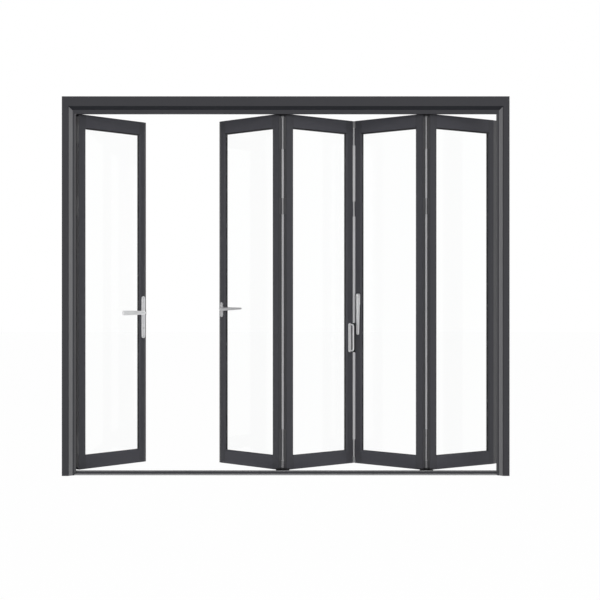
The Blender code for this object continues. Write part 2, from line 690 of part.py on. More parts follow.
def build():
    clear_scene()
    frame_head()
    frame_jamb("frame_left_jamb", -1)
    frame_jamb("frame_right_jamb", 1)
    frame_sill()

    shared = shared_leaf_meshes()
    swing_pin = pin_empty("swing_pin", SWING_PIN_X, SWING_ANGLE)
    lead_pin = pin_empty("lead_pin", FIRST_FOLD_X, -LEAD_ANGLE)
    third_pin = pin_empty("third_pin", FIRST_FOLD_X, FOLD_ANGLE)
    fourth_pin = pin_empty("fourth_pin", LAST_FOLD_X, -FOLD_ANGLE)
    end_pin = pin_empty("end_pin", LAST_FOLD_X, END_ANGLE)
    half_gap = LEAF_GAP / 2
    swing_shift = leaf(1, swing_pin, True, END_GAP / 2, ("plain", "free"), shared)
    lead_shift = leaf(2, lead_pin, False, half_gap, ("free", "notched"), shared)
    third_shift = leaf(3, third_pin, True, half_gap, ("notched", "plain"), shared)
    fourth_shift = leaf(4, fourth_pin, False, half_gap, ("plain", "notched"), shared)
    leaf(5, end_pin, True, half_gap, ("notched", "free"), shared)

    for number, row in enumerate(SWING_HINGE_ROWS, 1):
        swing_hinge(number, row, swing_pin)
    joints = (
        ("fold_a", FIRST_FOLD_X, PIN_Y, TRACK_HINGE_ROWS, (-LEAD_ANGLE, FOLD_ANGLE), False),
        ("fold_b", FIRST_FOLD_X + FOLD_STEP, PIN_Y + FOLD_REACH, INNER_HINGE_ROWS,
         (FOLD_ANGLE, -FOLD_ANGLE), True),
        ("fold_c", LAST_FOLD_X, PIN_Y, TRACK_HINGE_ROWS, (-FOLD_ANGLE, END_ANGLE), False))
    for name, x, y, rows, turns, inner in joints:
        for number, row in enumerate(rows, 1):
            fold_hinge(f"{name}_hinge_{number}", x, y, row, turns, inner)
    for label, x, turns in (("a", FIRST_FOLD_X, (-LEAD_ANGLE, FOLD_ANGLE)),
                            ("c", LAST_FOLD_X, (-FOLD_ANGLE, END_ANGLE))):
        track_carrier(f"track_carrier_{label}", x, turns)
        sill_guide(f"sill_guide_{label}", x, turns)

    swing_handles(swing_pin, swing_shift)
    lead_handle(lead_pin, lead_shift)
    pull_handle(third_pin, third_shift)
    drop_handle(fourth_pin, fourth_shift)
    bpy.context.view_layer.update()


build()
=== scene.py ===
"""Looks of the five-leaf aluminium folding door: finishes, seals, hinges, handles and trim.

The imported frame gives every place. A leaf is worked in its own coordinates: x runs from its
left edge to its right one, y from its inner face (0) to its outer one, and z is the height.
"""
import json
import logging
import math
from dataclasses import dataclass
from enum import Enum
from typing import Callable, Iterable, Sequence

import bmesh
import bpy
from mathutils import Matrix, Vector


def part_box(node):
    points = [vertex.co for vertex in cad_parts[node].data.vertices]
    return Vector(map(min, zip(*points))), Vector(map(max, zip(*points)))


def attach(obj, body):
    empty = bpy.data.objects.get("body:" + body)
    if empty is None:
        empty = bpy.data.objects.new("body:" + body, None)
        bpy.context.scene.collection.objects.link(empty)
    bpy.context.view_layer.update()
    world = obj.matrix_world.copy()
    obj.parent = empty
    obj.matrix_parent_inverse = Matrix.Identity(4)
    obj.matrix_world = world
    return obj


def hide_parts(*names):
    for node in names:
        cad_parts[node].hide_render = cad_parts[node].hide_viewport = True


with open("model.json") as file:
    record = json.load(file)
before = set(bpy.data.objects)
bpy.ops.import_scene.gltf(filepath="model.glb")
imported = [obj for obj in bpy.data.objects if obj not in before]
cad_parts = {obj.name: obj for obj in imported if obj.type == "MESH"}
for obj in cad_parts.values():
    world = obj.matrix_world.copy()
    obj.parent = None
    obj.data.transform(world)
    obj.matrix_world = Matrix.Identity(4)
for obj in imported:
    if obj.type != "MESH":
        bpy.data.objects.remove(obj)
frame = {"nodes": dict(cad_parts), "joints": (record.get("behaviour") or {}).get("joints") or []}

LOG = logging.getLogger("folding_door")
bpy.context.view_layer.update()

ACROSS = Vector((1, 0, 0))
OUTWARD = Vector((0, 1, 0))
INWARD = Vector((0, -1, 0))
UP = Vector((0, 0, 1))
DOWN = Vector((0, 0, -1))

# Two places closer than this count as one, and a direction this near to an axis counts as along it
SAME = 0.0001
ALONG = 0.9

Place = Sequence[float]
Colour = tuple[float, float, float]
PlaceTest = Callable[[Vector, Vector], bool]


class Body(Enum):
    """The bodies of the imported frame."""

    FIXED = "frame_and_folded_leaves"
    SWING = "swing_leaf"
    SWING_LEVERS = "swing_levers"
    LEAD_LEVER = "lead_lever_body"
    DROP_LEVER = "drop_lever_body"


class Slot(Enum):
    """The record's material slots."""

    GRAPHITE = "graphite_frame"
    GLASS = "clear_glass"
    SILVER = "satin_silver"
    BLACK = "black_plastic"


class Side(Enum):
    """Left or right edge of a leaf or of the outer frame, as the sign of its x."""

    LEFT = -1
    RIGHT = 1


# Node groups and finishes


class NodeBench:
    """Adds and links the nodes of one tree."""

    def __init__(self, tree: bpy.types.NodeTree) -> None:
        """Work on a tree."""
        self.tree = tree

    def add(self, kind: str, **settings: object) -> bpy.types.Node:
        """Add a node and set its properties.

        Args:
            kind: the node's type name.
            settings: properties of the node, by name.

        Returns:
            The new node.
        """
        node = self.tree.nodes.new(kind)
        for name, value in settings.items():
            setattr(node, name, value)
        return node

    def give(self, socket: bpy.types.NodeSocket, value: object) -> None:
        """Link an input socket to another socket, or set it to a plain value.

        Args:
            socket: the input socket.
            value: a plain value, or an output socket.
        """
        if isinstance(value, bpy.types.NodeSocket):
            self.tree.links.new(value, socket)
        else:
            socket.default_value = value

    def feed(self, node: bpy.types.Node, **inputs: object) -> bpy.types.Node:
        """Give inputs of a node, by socket name with _ for a space.

        Args:
            node: the node whose inputs are given.
            inputs: for each socket a plain value, or a socket to link from.

        Returns:
            The same node.
        """
        for name, value in inputs.items():
            self.give(node.inputs[name.replace("_", " ")], value)
        return node

    def maths(self, operation: str, first: object, second: object) -> bpy.types.NodeSocket:
        """Add a Math node.

        Args:
            operation: its operation.
            first: its first value or socket.
            second: its second value or socket.

        Returns:
            Its output.
        """
        node = self.add("ShaderNodeMath", operation=operation)
        self.give(node.inputs[0], first)
        self.give(node.inputs[1], second)
        return node.outputs[0]

    def blend(self, first: object, second: object, first_share: float) -> bpy.types.NodeSocket:
        """Add up two values by their shares.

        Args:
            first: a value or socket.
            second: another one.
            first_share: share of the first one, the second has the rest.

        Returns:
            The sum.
        """
        return self.maths("ADD", self.maths("MULTIPLY", first, first_share),
                          self.maths("MULTIPLY", second, 1 - first_share))

    def noise(self, place: bpy.types.NodeSocket, scale: object, detail: float) -> bpy.types.NodeSocket:
        """Return the value of a noise texture read at a place."""
        node = self.add("ShaderNodeTexNoise")
        return self.feed(node, Vector=place, Scale=scale, Detail=detail).outputs[0]

    def mix_colour(self, amount: object, dark: object, light: object) -> bpy.types.NodeSocket:
        """Add a mix of two colours.

        Args:
            amount: how much of the light one.
            dark: the colour at 0.
            light: the colour at 1.

        Returns:
            The mixed colour.
        """
        node = self.add("ShaderNodeMix", data_type="RGBA")
        for socket, value in ((node.inputs[0], amount), (node.inputs[6], dark), (node.inputs[7], light)):
            self.give(socket, value)
        return node.outputs[2]


class SurfaceGroup:
    """A shader node group that puts out a colour, a roughness and a height."""

    shared = (("Place", "NodeSocketVector"), ("Dark", "NodeSocketColor"), ("Light", "NodeSocketColor"),
              ("Roughness", "NodeSocketFloat"), ("Spread", "NodeSocketFloat"))
    put_out = (("Colour", "NodeSocketColor"), ("Roughness", "NodeSocketFloat"),
               ("Height", "NodeSocketFloat"))

    def __init__(self, name: str, extra: tuple[str, str]) -> None:
        """Start a group with the shared inputs and one of its own.

        Args:
            name: the group's name.
            extra: name and socket type of its own input.
        """
        self.tree = bpy.data.node_groups.new(name, "ShaderNodeTree")
        for label, kind in (*self.shared, extra):
            self.tree.interface.new_socket(label, in_out="INPUT", socket_type=kind)
        for label, kind in self.put_out:
            self.tree.interface.new_socket(label, in_out="OUTPUT", socket_type=kind)
        self.bench = NodeBench(self.tree)
        self.given = self.bench.add("NodeGroupInput").outputs

    def close(self, colour_mask: object, uneven: object, height: object) -> bpy.types.NodeTree:
        """Put out the colour, the roughness and the height.

        Args:
            colour_mask: 0 for the dark colour and 1 for the light one.
            uneven: what the roughness follows, about 0.5.
            height: what the bump follows.

        Returns:
            The finished group.
        """
        bench, given = self.bench, self.given
        offset = bench.maths("MULTIPLY", bench.maths("SUBTRACT", uneven, 0.5), given["Spread"])
        bench.feed(bench.add("NodeGroupOutput"), Height=height,
                   Colour=bench.mix_colour(colour_mask, given["Dark"], given["Light"]),
                   Roughness=bench.maths("ADD", given["Roughness"], offset))
        return self.tree


def grain_group() -> bpy.types.NodeTree:
    """Return the group of a fine, even grain, as on powder coat, plastic and rubber."""
    existing = bpy.data.node_groups.get("fine_grain")
    if existing:
        return existing
    coarseness, cloud_scale, fine_share, texture_share = 0.21, 3.5, 0.6, 0.65
    group = SurfaceGroup("fine_grain", ("Grain", "NodeSocketFloat"))
    bench, given = group.bench, group.given
    fine = bench.noise(given["Place"], given["Grain"], 2.0)
    coarse = bench.noise(given["Place"], bench.maths("MULTIPLY", given["Grain"], coarseness), 3.0)
    cloud = bench.noise(given["Place"], cloud_scale, 2.0)
    texture = bench.blend(fine, coarse, fine_share)
    return group.close(bench.blend(texture, cloud, texture_share), texture, texture)


def streak_group() -> bpy.types.NodeTree:
    """Return the group of brushed streaks, which run along the axis that is stretched least."""
    existing = bpy.data.node_groups.get("brushed_streaks")
    if existing:
        return existing
    cloud_scale, streak_share = 14.0, 0.7
    group = SurfaceGroup("brushed_streaks", ("Stretch", "NodeSocketVector"))
    bench, given = group.bench, group.given
    stretched = bench.add("ShaderNodeVectorMath", operation="MULTIPLY")
    bench.give(stretched.inputs[0], given["Place"])
    bench.give(stretched.inputs[1], given["Stretch"])
    streaks = bench.noise(stretched.outputs[0], 1.0, 4.0)
    blend = bench.blend(streaks, bench.noise(given["Place"], cloud_scale, 2.0), streak_share)
    return group.close(blend, blend, streaks)


def rgba(colour: Colour, factor: float = 1.0) -> tuple[float, float, float, float]:
    """Return a colour scaled by a factor, with full alpha."""
    return (colour[0] * factor, colour[1] * factor, colour[2] * factor, 1.0)


@dataclass(frozen=True)
class Finish:
    """What every finish has: a name, a slot, a colour and a roughness."""

    name: str
    slot: Slot
    colour: Colour
    roughness: float

    def material(self) -> bpy.types.Material:
        """Return the finish's material, made once."""
        return bpy.data.materials.get(self.name) or self.mixed()

    def mixed(self) -> bpy.types.Material:
        """Make the material, as each kind of finish does in its own way."""
        raise NotImplementedError

    def built(self, group: bpy.types.NodeTree, given: dict[str, object], relief: tuple[float, float],
              **shading: float) -> bpy.types.Material:
        """Build the material round a surface group.

        Args:
            group: the group that gives colour, roughness and height.
            given: the group's inputs, apart from the place.
            relief: strength and distance of the bump.
            shading: plain values for the shader's own sockets.

        Returns:
            The material.
        """
        made = bpy.data.materials.new(self.name)
        made.use_nodes = True
        bench = NodeBench(made.node_tree)
        surface = bench.add("ShaderNodeGroup", node_tree=group)
        bench.feed(surface, Place=bench.add("ShaderNodeTexCoord").outputs["Object"], **given)
        bump = bench.feed(bench.add("ShaderNodeBump"), Strength=relief[0], Distance=relief[1],
                          Height=surface.outputs["Height"])
        bench.feed(made.node_tree.nodes["Principled BSDF"], Base_Color=surface.outputs["Colour"],
                   Roughness=surface.outputs["Roughness"], Normal=bump.outputs["Normal"], **shading)
        return made


@dataclass(frozen=True)
class GrainFinish(Finish):
    """Painted, moulded or rubber surface with a fine grain."""

    gloss: float
    contrast: float = 0.12
    grain: float = 900.0
    spread: float = 0.12
    relief: float = 0.05
    relief_depth: float = 0.0002

    def mixed(self) -> bpy.types.Material:
        """Make the material."""
        given = {"Dark": rgba(self.colour, 1 - self.contrast), "Light": rgba(self.colour, 1 + self.contrast),
                 "Grain": self.grain, "Roughness": self.roughness, "Spread": self.spread}
        return self.built(grain_group(), given, (self.relief, self.relief_depth),
                          Specular_IOR_Level=self.gloss)


@dataclass(frozen=True)
class BrushedFinish(Finish):
    """Satin metal with fine streaks along the axis that its stretch holds least."""

    stretch: tuple[float, float, float] = (1400.0, 1400.0, 12.0)
    contrast: float = 0.10
    spread: float = 0.12
    relief: float = 0.06
    relief_depth: float = 0.0001
    metallic: float = 1.0

    def mixed(self) -> bpy.types.Material:
        """Make the material."""
        given = {"Dark": rgba(self.colour, 1 - self.contrast), "Light": rgba(self.colour, 1 + self.contrast),
                 "Stretch": self.stretch, "Roughness": self.roughness, "Spread": self.spread}
        return self.built(streak_group(), given, (self.relief, self.relief_depth), Metallic=self.metallic)


@dataclass(frozen=True)
class PaneFinish(Finish):
    """Clear float glass with the faint unevenness of a washed pane."""

    shade: float = 0.993
    smear: float = 0.01
    smear_scale: float = 6.0
    relief: float = 0.02
    relief_depth: float = 0.0005
    index: float = 1.22

    def mixed(self) -> bpy.types.Material:
        """Make the material."""
        given = {"Dark": rgba(self.colour, self.shade), "Light": rgba(self.colour),
                 "Grain": self.smear_scale, "Roughness": self.roughness + self.smear / 2,
                 "Spread": self.smear}
        return self.built(grain_group(), given, (self.relief, self.relief_depth), Transmission_Weight=1.0,
                          IOR=self.index)


CLEAR_PANE = PaneFinish("clear_pane", Slot.GLASS, (0.995, 1.0, 0.998), 0.005)
FRAME_COAT = GrainFinish("graphite_frame_coat", Slot.GRAPHITE, (0.040, 0.040, 0.045), 0.48, 0.25)
# The leaves, and their rails more so, take lighter copies of the frame's graphite paint. This is painted
# light that offsets the shade cast on them by the head and the neighbouring leaves.
LEAF_COAT_LIGHTENED_FOR_SHADE = GrainFinish("graphite_leaf_coat", Slot.GRAPHITE, (0.057, 0.057, 0.065), 0.48, 0.25)
RAIL_COAT_LIGHTENED_FOR_SHADE = GrainFinish("graphite_rail_coat", Slot.GRAPHITE, (0.067, 0.067, 0.078), 0.48, 0.25)
# Light grey of the strips in the jambs' bevels is a painted highlight on those bevels.
JAMB_HIGHLIGHT_COAT = GrainFinish("light_grey_trim_coat", Slot.GRAPHITE, (0.190, 0.190, 0.196), 0.42, 0.35)
# Pale grey of the sill's nosing and of the strip along its top edge. That strip is a painted highlight.
PALE_NOSING_AND_HIGHLIGHT_COAT = GrainFinish("pale_grey_trim_coat", Slot.GRAPHITE, (0.270, 0.270, 0.278), 0.42, 0.35)
# Near black of the strip in the head's bevel is painted shade on the bevel that faces down.
HEAD_BEVEL_SHADE_COAT = GrainFinish("head_bevel_painted_shade_coat", Slot.GRAPHITE, (0.015, 0.016, 0.020), 0.50, 0.20)
HINGE_PAINT = GrainFinish("grey_hinge_paint", Slot.SILVER, (0.400, 0.400, 0.408), 0.42, 0.40)
# The fold hinge flaps are painted lighter than the leaf coat against their shade in the joints.
FLAP_PAINT_LIGHTENED_FOR_SHADE = GrainFinish("dark_hinge_paint", Slot.GRAPHITE, (0.090, 0.090, 0.095), 0.46, 0.30)
# Grey of the swing leaf's hinges, painted lighter against their shade between the jamb and the leaf.
JAMB_HINGE_PAINT_LIGHTENED_FOR_SHADE = GrainFinish("grey_jamb_hinge_paint", Slot.GRAPHITE, (0.300, 0.300, 0.308), 0.46, 0.30)
LIP_SEAL = GrainFinish("dark_grey_lip_seal", Slot.BLACK, (0.080, 0.080, 0.084), 0.60, 0.25, grain=500.0)
GREY_SEAL = GrainFinish("grey_edge_seal", Slot.BLACK, (0.120, 0.120, 0.124), 0.62, 0.30, grain=500.0)
CORD_SEAL = GrainFinish("light_grey_cord_seal", Slot.BLACK, (0.500, 0.500, 0.510), 0.60, 0.30, grain=500.0)
END_SEAL = GrainFinish("grey_cord_end_seal", Slot.BLACK, (0.230, 0.230, 0.236), 0.60, 0.30, grain=500.0)
# Pale grey seal over the swing leaf's hinge edge. It is painted light against that edge face's deep shade.
HINGE_SIDE_SEAL_LIGHTENED_FOR_SHADE = GrainFinish("grey_hinge_side_seal", Slot.BLACK, (0.300, 0.300, 0.310), 0.60, 0.25,
                              grain=500.0)
# The insulating edge strips are lighter than the leaf coat. This is painted light against the shade on the
# leaves' edge faces.
EDGE_STRIP_LIGHTENED_FOR_SHADE = GrainFinish("dark_grey_strip", Slot.BLACK, (0.074, 0.074, 0.079), 0.58, 0.25, grain=650.0)
GASKET_RUBBER = GrainFinish("dark_grey_gasket_rubber", Slot.BLACK, (0.036, 0.036, 0.038), 0.60, 0.25,
                            grain=420.0)
# Black of the bulb seal. It also paints the shadow lines under the top rails and the shadow behind the pull
# handle.
BLACK_RUBBER_AND_SHADOW = GrainFinish("black_rubber_and_painted_shadow", Slot.BLACK, (0.016, 0.016, 0.017), 0.60, 0.30, grain=420.0)
BLACK_PLASTIC = GrainFinish("black_moulded_plastic", Slot.BLACK, (0.014, 0.014, 0.015), 0.50, 0.40,
                            contrast=0.20, grain=650.0)
BRUSH_PILE = GrainFinish("black_brush_pile", Slot.BLACK, (0.020, 0.020, 0.021), 0.85, 0.10,
                         contrast=0.45, grain=1800.0)
SATIN_SILVER = BrushedFinish("satin_silver_brushed", Slot.SILVER, (0.84, 0.84, 0.855), 0.32, contrast=0.05)
POLISHED_LEVER = BrushedFinish("satin_silver_lever", Slot.SILVER, (0.93, 0.93, 0.94), 0.34,
                               stretch=(60.0, 60.0, 900.0), contrast=0.01, spread=0.03, relief=0.004)
# A darker copy of the levers' satin silver, as painted shade on the lead leaf's lever.
SHADED_LEVER = BrushedFinish("satin_lever_painted_shade", Slot.SILVER, (0.56, 0.56, 0.57), 0.36,
                             stretch=(60.0, 60.0, 900.0), contrast=0.01, spread=0.03, relief=0.004)
# A darker copy of the satin silver, as painted shade on the plates of the lead leaf and of the drop handle.
SATIN_PLATE_PAINTED_SHADE = BrushedFinish("satin_plate_painted_shade", Slot.SILVER, (0.60, 0.60, 0.61), 0.34, contrast=0.04)
DROP_SATIN = BrushedFinish("satin_silver_drop", Slot.SILVER, (0.70, 0.70, 0.71), 0.30, contrast=0.03,
                           spread=0.04, relief=0.02)
PULL_SATIN = BrushedFinish("satin_silver_pull", Slot.SILVER, (0.72, 0.72, 0.73), 0.46, contrast=0.03,
                           spread=0.04, relief=0.02, metallic=0.30)
HINGE_STEEL = BrushedFinish("hinge_steel", Slot.SILVER, (0.50, 0.50, 0.51), 0.36,
                            stretch=(900.0, 900.0, 700.0), contrast=0.12)


# Modelling by hand-like steps


def deselect_all() -> None:
    """Leave nothing selected."""
    bpy.ops.object.select_all(action="DESELECT")


def make_active(obj: bpy.types.Object, others: Sequence[bpy.types.Object] = ()) -> None:
    """Select an object, with others beside it, and make it the active one.

    Args:
        obj: the object to work on.
        others: what else is selected.
    """
    deselect_all()
    for each in (obj, *others):
        each.select_set(True)
    bpy.context.view_layer.objects.active = obj


def turn_towards(axis: Place) -> Matrix:
    """Return the rotation that turns +Z to an axis."""
    return UP.rotation_difference(Vector(axis)).to_matrix().to_4x4()


def middle_and_size(low: Place, high: Place) -> tuple[list[float], list[float]]:
    """Return the middle and the size of the box between two corners."""
    return [(a + b) / 2 for a, b in zip(low, high)], [b - a for a, b in zip(low, high)]


class Workpiece:
    """One mesh object under work in edit mode, shaped with Blender's own operators."""

    def __init__(self) -> None:
        """Take the object that was just added, apply its place and enter edit mode."""
        self.obj = bpy.context.object
        bpy.ops.object.transform_apply(location=True, rotation=True, scale=True)
        bpy.ops.object.mode_set(mode="EDIT")
        bpy.ops.mesh.select_mode(type="FACE")

    @classmethod
    def block(cls, low: Place, high: Place) -> "Workpiece":
        """Start from a cube that fills the box between two corners.

        Args:
            low: the box's lowest corner.
            high: its highest corner.

        Returns:
            The workpiece.
        """
        deselect_all()
        middle, size = middle_and_size(low, high)
        bpy.ops.mesh.primitive_cube_add(size=1.0, location=middle, scale=size)
        return cls()

    @classmethod
    def rod(cls, start: Place, end: Place, radius: float, sides: int = 32) -> "Workpiece":
        """Start from a cylinder between two points.

        Args:
            start: middle of its first end.
            end: middle of its last end.
            radius: its radius.
            sides: how many faces go round it.

        Returns:
            The workpiece.
        """
        deselect_all()
        first, last = Vector(start), Vector(end)
        turn = turn_towards((last - first).normalized()).to_euler()
        bpy.ops.mesh.primitive_cylinder_add(vertices=sides, radius=radius, depth=(last - first).length,
                                            location=(first + last) / 2, rotation=turn)
        return cls()

    @classmethod
    def disc(cls, centre: Place, axis: Place, radius: float, sides: int = 32) -> "Workpiece":
        """Start from a filled circle, all of it selected.

        Args:
            centre: its middle.
            axis: where it looks.
            radius: its radius.
            sides: how many edges go round it.

        Returns:
            The workpiece.
        """
        deselect_all()
        bpy.ops.mesh.primitive_circle_add(vertices=sides, radius=radius, fill_type="NGON",
                                          location=centre, rotation=turn_towards(axis).to_euler())
        return cls().everything()

    @classmethod
    def sheet(cls, low: Place, high: Place, axis: str) -> "Workpiece":
        """Start from a rectangle between two corners, all of it selected.

        Args:
            low: its lowest corner.
            high: its highest corner.
            axis: Y for an upright sheet that looks along y, Z for a level one.

        Returns:
            The workpiece.
        """
        deselect_all()
        middle, size = middle_and_size(low, high)
        bpy.ops.mesh.primitive_plane_add(size=1.0, location=middle)
        bpy.context.object.scale = (size[0], size[2] if axis == "Y" else size[1], 1.0)
        bpy.context.object.rotation_euler = (math.pi / 2 if axis == "Y" else 0, 0, 0)
        return cls().everything()

    def everything(self) -> "Workpiece":
        """Select everything."""
        bpy.ops.mesh.select_all(action="SELECT")
        return self

    def pick(self, kind: str, test: PlaceTest) -> "Workpiece":
        """Select the faces, edges or vertices that pass a test.

        Args:
            kind: FACE, EDGE or VERT.
            test: takes the centre and the normal (an edge's direction) and says whether to select.

        Returns:
            This workpiece.
        """
        bpy.ops.mesh.select_mode(type=kind)
        bpy.ops.mesh.select_all(action="DESELECT")
        shape = bmesh.from_edit_mesh(self.obj.data)
        if kind == "FACE":
            for face in shape.faces:
                face.select_set(test(face.calc_center_median(), face.normal))
        elif kind == "EDGE":
            for edge in shape.edges:
                start, end = edge.verts[0].co, edge.verts[1].co
                edge.select_set(test((start + end) / 2, (end - start).normalized()))
        else:
            for vertex in shape.verts:
                vertex.select_set(test(vertex.co, vertex.normal))
        shape.select_flush_mode()
        bmesh.update_edit_mesh(self.obj.data)
        return self

    def end_face(self, *ways: Place) -> "Workpiece":
        """Select the faces that look one of the given ways."""
        return self.pick("FACE", lambda _, normal: any(normal.dot(Vector(way)) > ALONG for way in ways))

    def centre(self) -> Vector:
        """Return the middle of what is selected."""
        shape = bmesh.from_edit_mesh(self.obj.data)
        places = [vertex.co for vertex in shape.verts if vertex.select]
        return sum(places, Vector()) / len(places)

    def extrude(self, x: float = 0.0, y: float = 0.0, z: float = 0.0) -> "Workpiece":
        """Extrude what is selected by an offset."""
        bpy.ops.mesh.extrude_region_move(TRANSFORM_OT_translate={"value": (x, y, z)})
        return self

    def move(self, x: float = 0.0, y: float = 0.0, z: float = 0.0) -> "Workpiece":
        """Move what is selected."""
        bpy.ops.transform.translate(value=(x, y, z))
        return self

    def resize(self, x: float = 1.0, y: float = 1.0, z: float = 1.0) -> "Workpiece":
        """Scale what is selected about its middle."""
        bpy.ops.transform.resize(value=(x, y, z), center_override=self.centre())
        return self

    def rotate(self, degrees: float, axis: str, centre: Place) -> "Workpiece":
        """Turn what is selected about an axis through a centre, by the right-hand rule."""
        bpy.ops.transform.rotate(value=-math.radians(degrees), orient_axis=axis, center_override=centre)
        return self

    def spin(self, degrees: float, steps: int, centre: Place, axis: Place) -> "Workpiece":
        """Sweep what is selected along an arc."""
        bpy.ops.mesh.spin(steps=steps, angle=math.radians(degrees), center=centre, axis=axis)
        return self

    def inset(self, thickness: float, depth: float = 0.0) -> "Workpiece":
        """Inset the selected faces."""
        bpy.ops.mesh.inset(thickness=thickness, depth=depth)
        return self

    def bevel(self, width: float, segments: int, corners: bool = False) -> "Workpiece":
        """Round the selected edges, or the selected corners of a flat face."""
        bpy.ops.mesh.bevel(offset=width, segments=segments, affect="VERTICES" if corners else "EDGES",
                           clamp_overlap=True)
        return self

    def round_rim(self, width: float, segments: int, *ways: Place) -> "Workpiece":
        """Round the rims of the flat ends that look the given ways.

        Args:
            width: how far the rounding reaches.
            segments: how many faces go across it.
            ways: where the ends look.

        Returns:
            This workpiece.
        """
        self.end_face(*ways)
        bpy.ops.mesh.region_to_loop()
        return self.bevel(width, segments)

    def slice(self, point: Place, normal: Place) -> "Workpiece":
        """Cut all along a plane, drop the side that the normal points to and close the cut."""
        self.everything()
        bpy.ops.mesh.bisect(plane_co=point, plane_no=normal, use_fill=True, clear_outer=True)
        return self

    def resume(self) -> "Workpiece":
        """Enter edit mode again on a finished object."""
        make_active(self.obj)
        bpy.ops.object.mode_set(mode="EDIT")
        return self

    def done(self, smooth_degrees: float = 35.0) -> bpy.types.Object:
        """Merge doubles, point the faces outward, leave edit mode and shade.

        Args:
            smooth_degrees: edges that turn less than this are shaded smooth.

        Returns:
            The finished object.
        """
        self.everything()
        bpy.ops.mesh.remove_doubles(threshold=SAME / 10)
        bpy.ops.mesh.normals_make_consistent(inside=False)
        bpy.ops.object.mode_set(mode="OBJECT")
        bpy.ops.object.shade_smooth_by_angle(angle=math.radians(smooth_degrees))
        return self.obj


def round_ended_plate(back: Place, front: Place, width: float, length: float, edge: float,
                      sides: int = 64, segments: int = 4) -> bpy.types.Object:
    """Model an upright plate with round ends and a rounded front rim.

    Args:
        back: middle of its back face.
        front: middle of its front face.
        width: its width.
        length: its height.
        edge: width of the rounded rim.
        sides: how many faces its two round ends have together.
        segments: how many faces go across the rounded rim.

    Returns:
        The plate.
    """
    piece = Workpiece.rod(back, front, width / 2, sides)
    for way in (1, -1):
        piece.pick("VERT", lambda place, _: (place.z - back[2]) * way > SAME / 10)
        piece.move(z=way * (length - width) / 2)
    return piece.round_rim(edge, segments, (Vector(front) - Vector(back)).normalized()).done()


def plate_in_box(low: Vector, high: Vector, front: int, edge: float) -> bpy.types.Object:
    """Model a plate with round ends across Y, in the box between two corners.

    Args:
        low: the box's lowest corner.
        high: the box's highest corner.
        front: -1 where the front looks to -Y, 1 where it looks to +Y.
        edge: width of the rounded front rim.

    Returns:
        The plate.
    """
    x, z = (low.x + high.x) / 2, (low.z + high.z) / 2
    back_y, front_y = (high.y, low.y) if front < 0 else (low.y, high.y)
    return round_ended_plate((x, back_y, z), (x, front_y, z), high.x - low.x, high.z - low.z, edge)


def combined(objects: Sequence[bpy.types.Object]) -> bpy.types.Object:
    """Join objects into the first one and return it."""
    make_active(objects[0], objects[1:])
    bpy.ops.object.join()
    return objects[0]


def applied(obj: bpy.types.Object, kind: str, **settings: object) -> bpy.types.Object:
    """Put a modifier on an object and apply it.

    Args:
        obj: the object.
        kind: the modifier's type name.
        settings: its properties, by name.

    Returns:
        The object.
    """
    make_active(obj)
    step = obj.modifiers.new(kind.lower(), kind)
    for name, value in settings.items():
        setattr(step, name, value)
    bpy.ops.object.modifier_apply(modifier=step.name)
    return obj


def carved(obj: bpy.types.Object, cutters: Sequence[bpy.types.Object]) -> bpy.types.Object:
    """Cut each cutter out of an object and remove the cutters."""
    for cutter in cutters:
        applied(obj, "BOOLEAN", object=cutter, operation="DIFFERENCE")
        bpy.data.objects.remove(cutter)
    return obj


def moved(obj: bpy.types.Object, matrix: Matrix) -> bpy.types.Object:
    """Move an object's mesh by a matrix and return the object."""
    obj.data.transform(matrix)
    return obj


def copied(obj: bpy.types.Object, matrix: Matrix) -> bpy.types.Object:
    """Return a copy with its own mesh, moved by a matrix."""
    twin = obj.copy()
    twin.data = obj.data.copy()
    bpy.context.collection.objects.link(twin)
    return moved(twin, matrix)


def half_turn(middle: Place, axis: str) -> Matrix:
    """Return the half turn about an axis through a middle."""
    place = Matrix.Translation(middle)
    return place @ Matrix.Rotation(math.pi, 4, axis) @ place.inverted()


def hand_over(obj: bpy.types.Object, name: str, body: Body, finish: Finish,
              replaced: Sequence[str] = ()) -> bpy.types.Object:
    """Name a finished piece, give it its finish and body, and report it.

    Args:
        obj: the piece, at its place in its mesh.
        name: the piece's name.
        body: the body that carries it.
        finish: the finish whose material and slot it takes.
        replaced: CAD nodes that it stands for.

    Returns:
        The piece.
    """
    obj.name = name
    obj.data.materials.clear()
    obj.data.materials.append(finish.material())
    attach(obj, body.value)
    if replaced:
        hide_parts(*replaced)
    LOG.info("%s: %d faces on %s", name, len(obj.data.polygons), body.value)
    return obj


# Places read from the frame


def node_points(name: str) -> list[Vector]:
    """Return the corners of a CAD node's mesh."""
    return [vertex.co.copy() for vertex in frame["nodes"][name].data.vertices]


def span(points: Iterable[Vector], way: Vector) -> tuple[float, float]:
    """Return how far points reach back and forth along a direction."""
    values = [point.dot(way) for point in points]
    return min(values), max(values)


def joint_place(name: str) -> Vector:
    """Return the point that a joint turns about."""
    return Vector(next(joint["pos_m"] for joint in frame["joints"] if joint["name"] == name))


def barrel_axis(hinge: str) -> tuple[float, float]:
    """Return x and y of a folded joint's pin, read at the top of its CAD hinge."""
    points = node_points(hinge)
    top = span(points, UP)[1]
    rim = [point for point in points if point.z > top - SAME]
    return sum(span(rim, ACROSS)) / 2, sum(span(rim, OUTWARD)) / 2


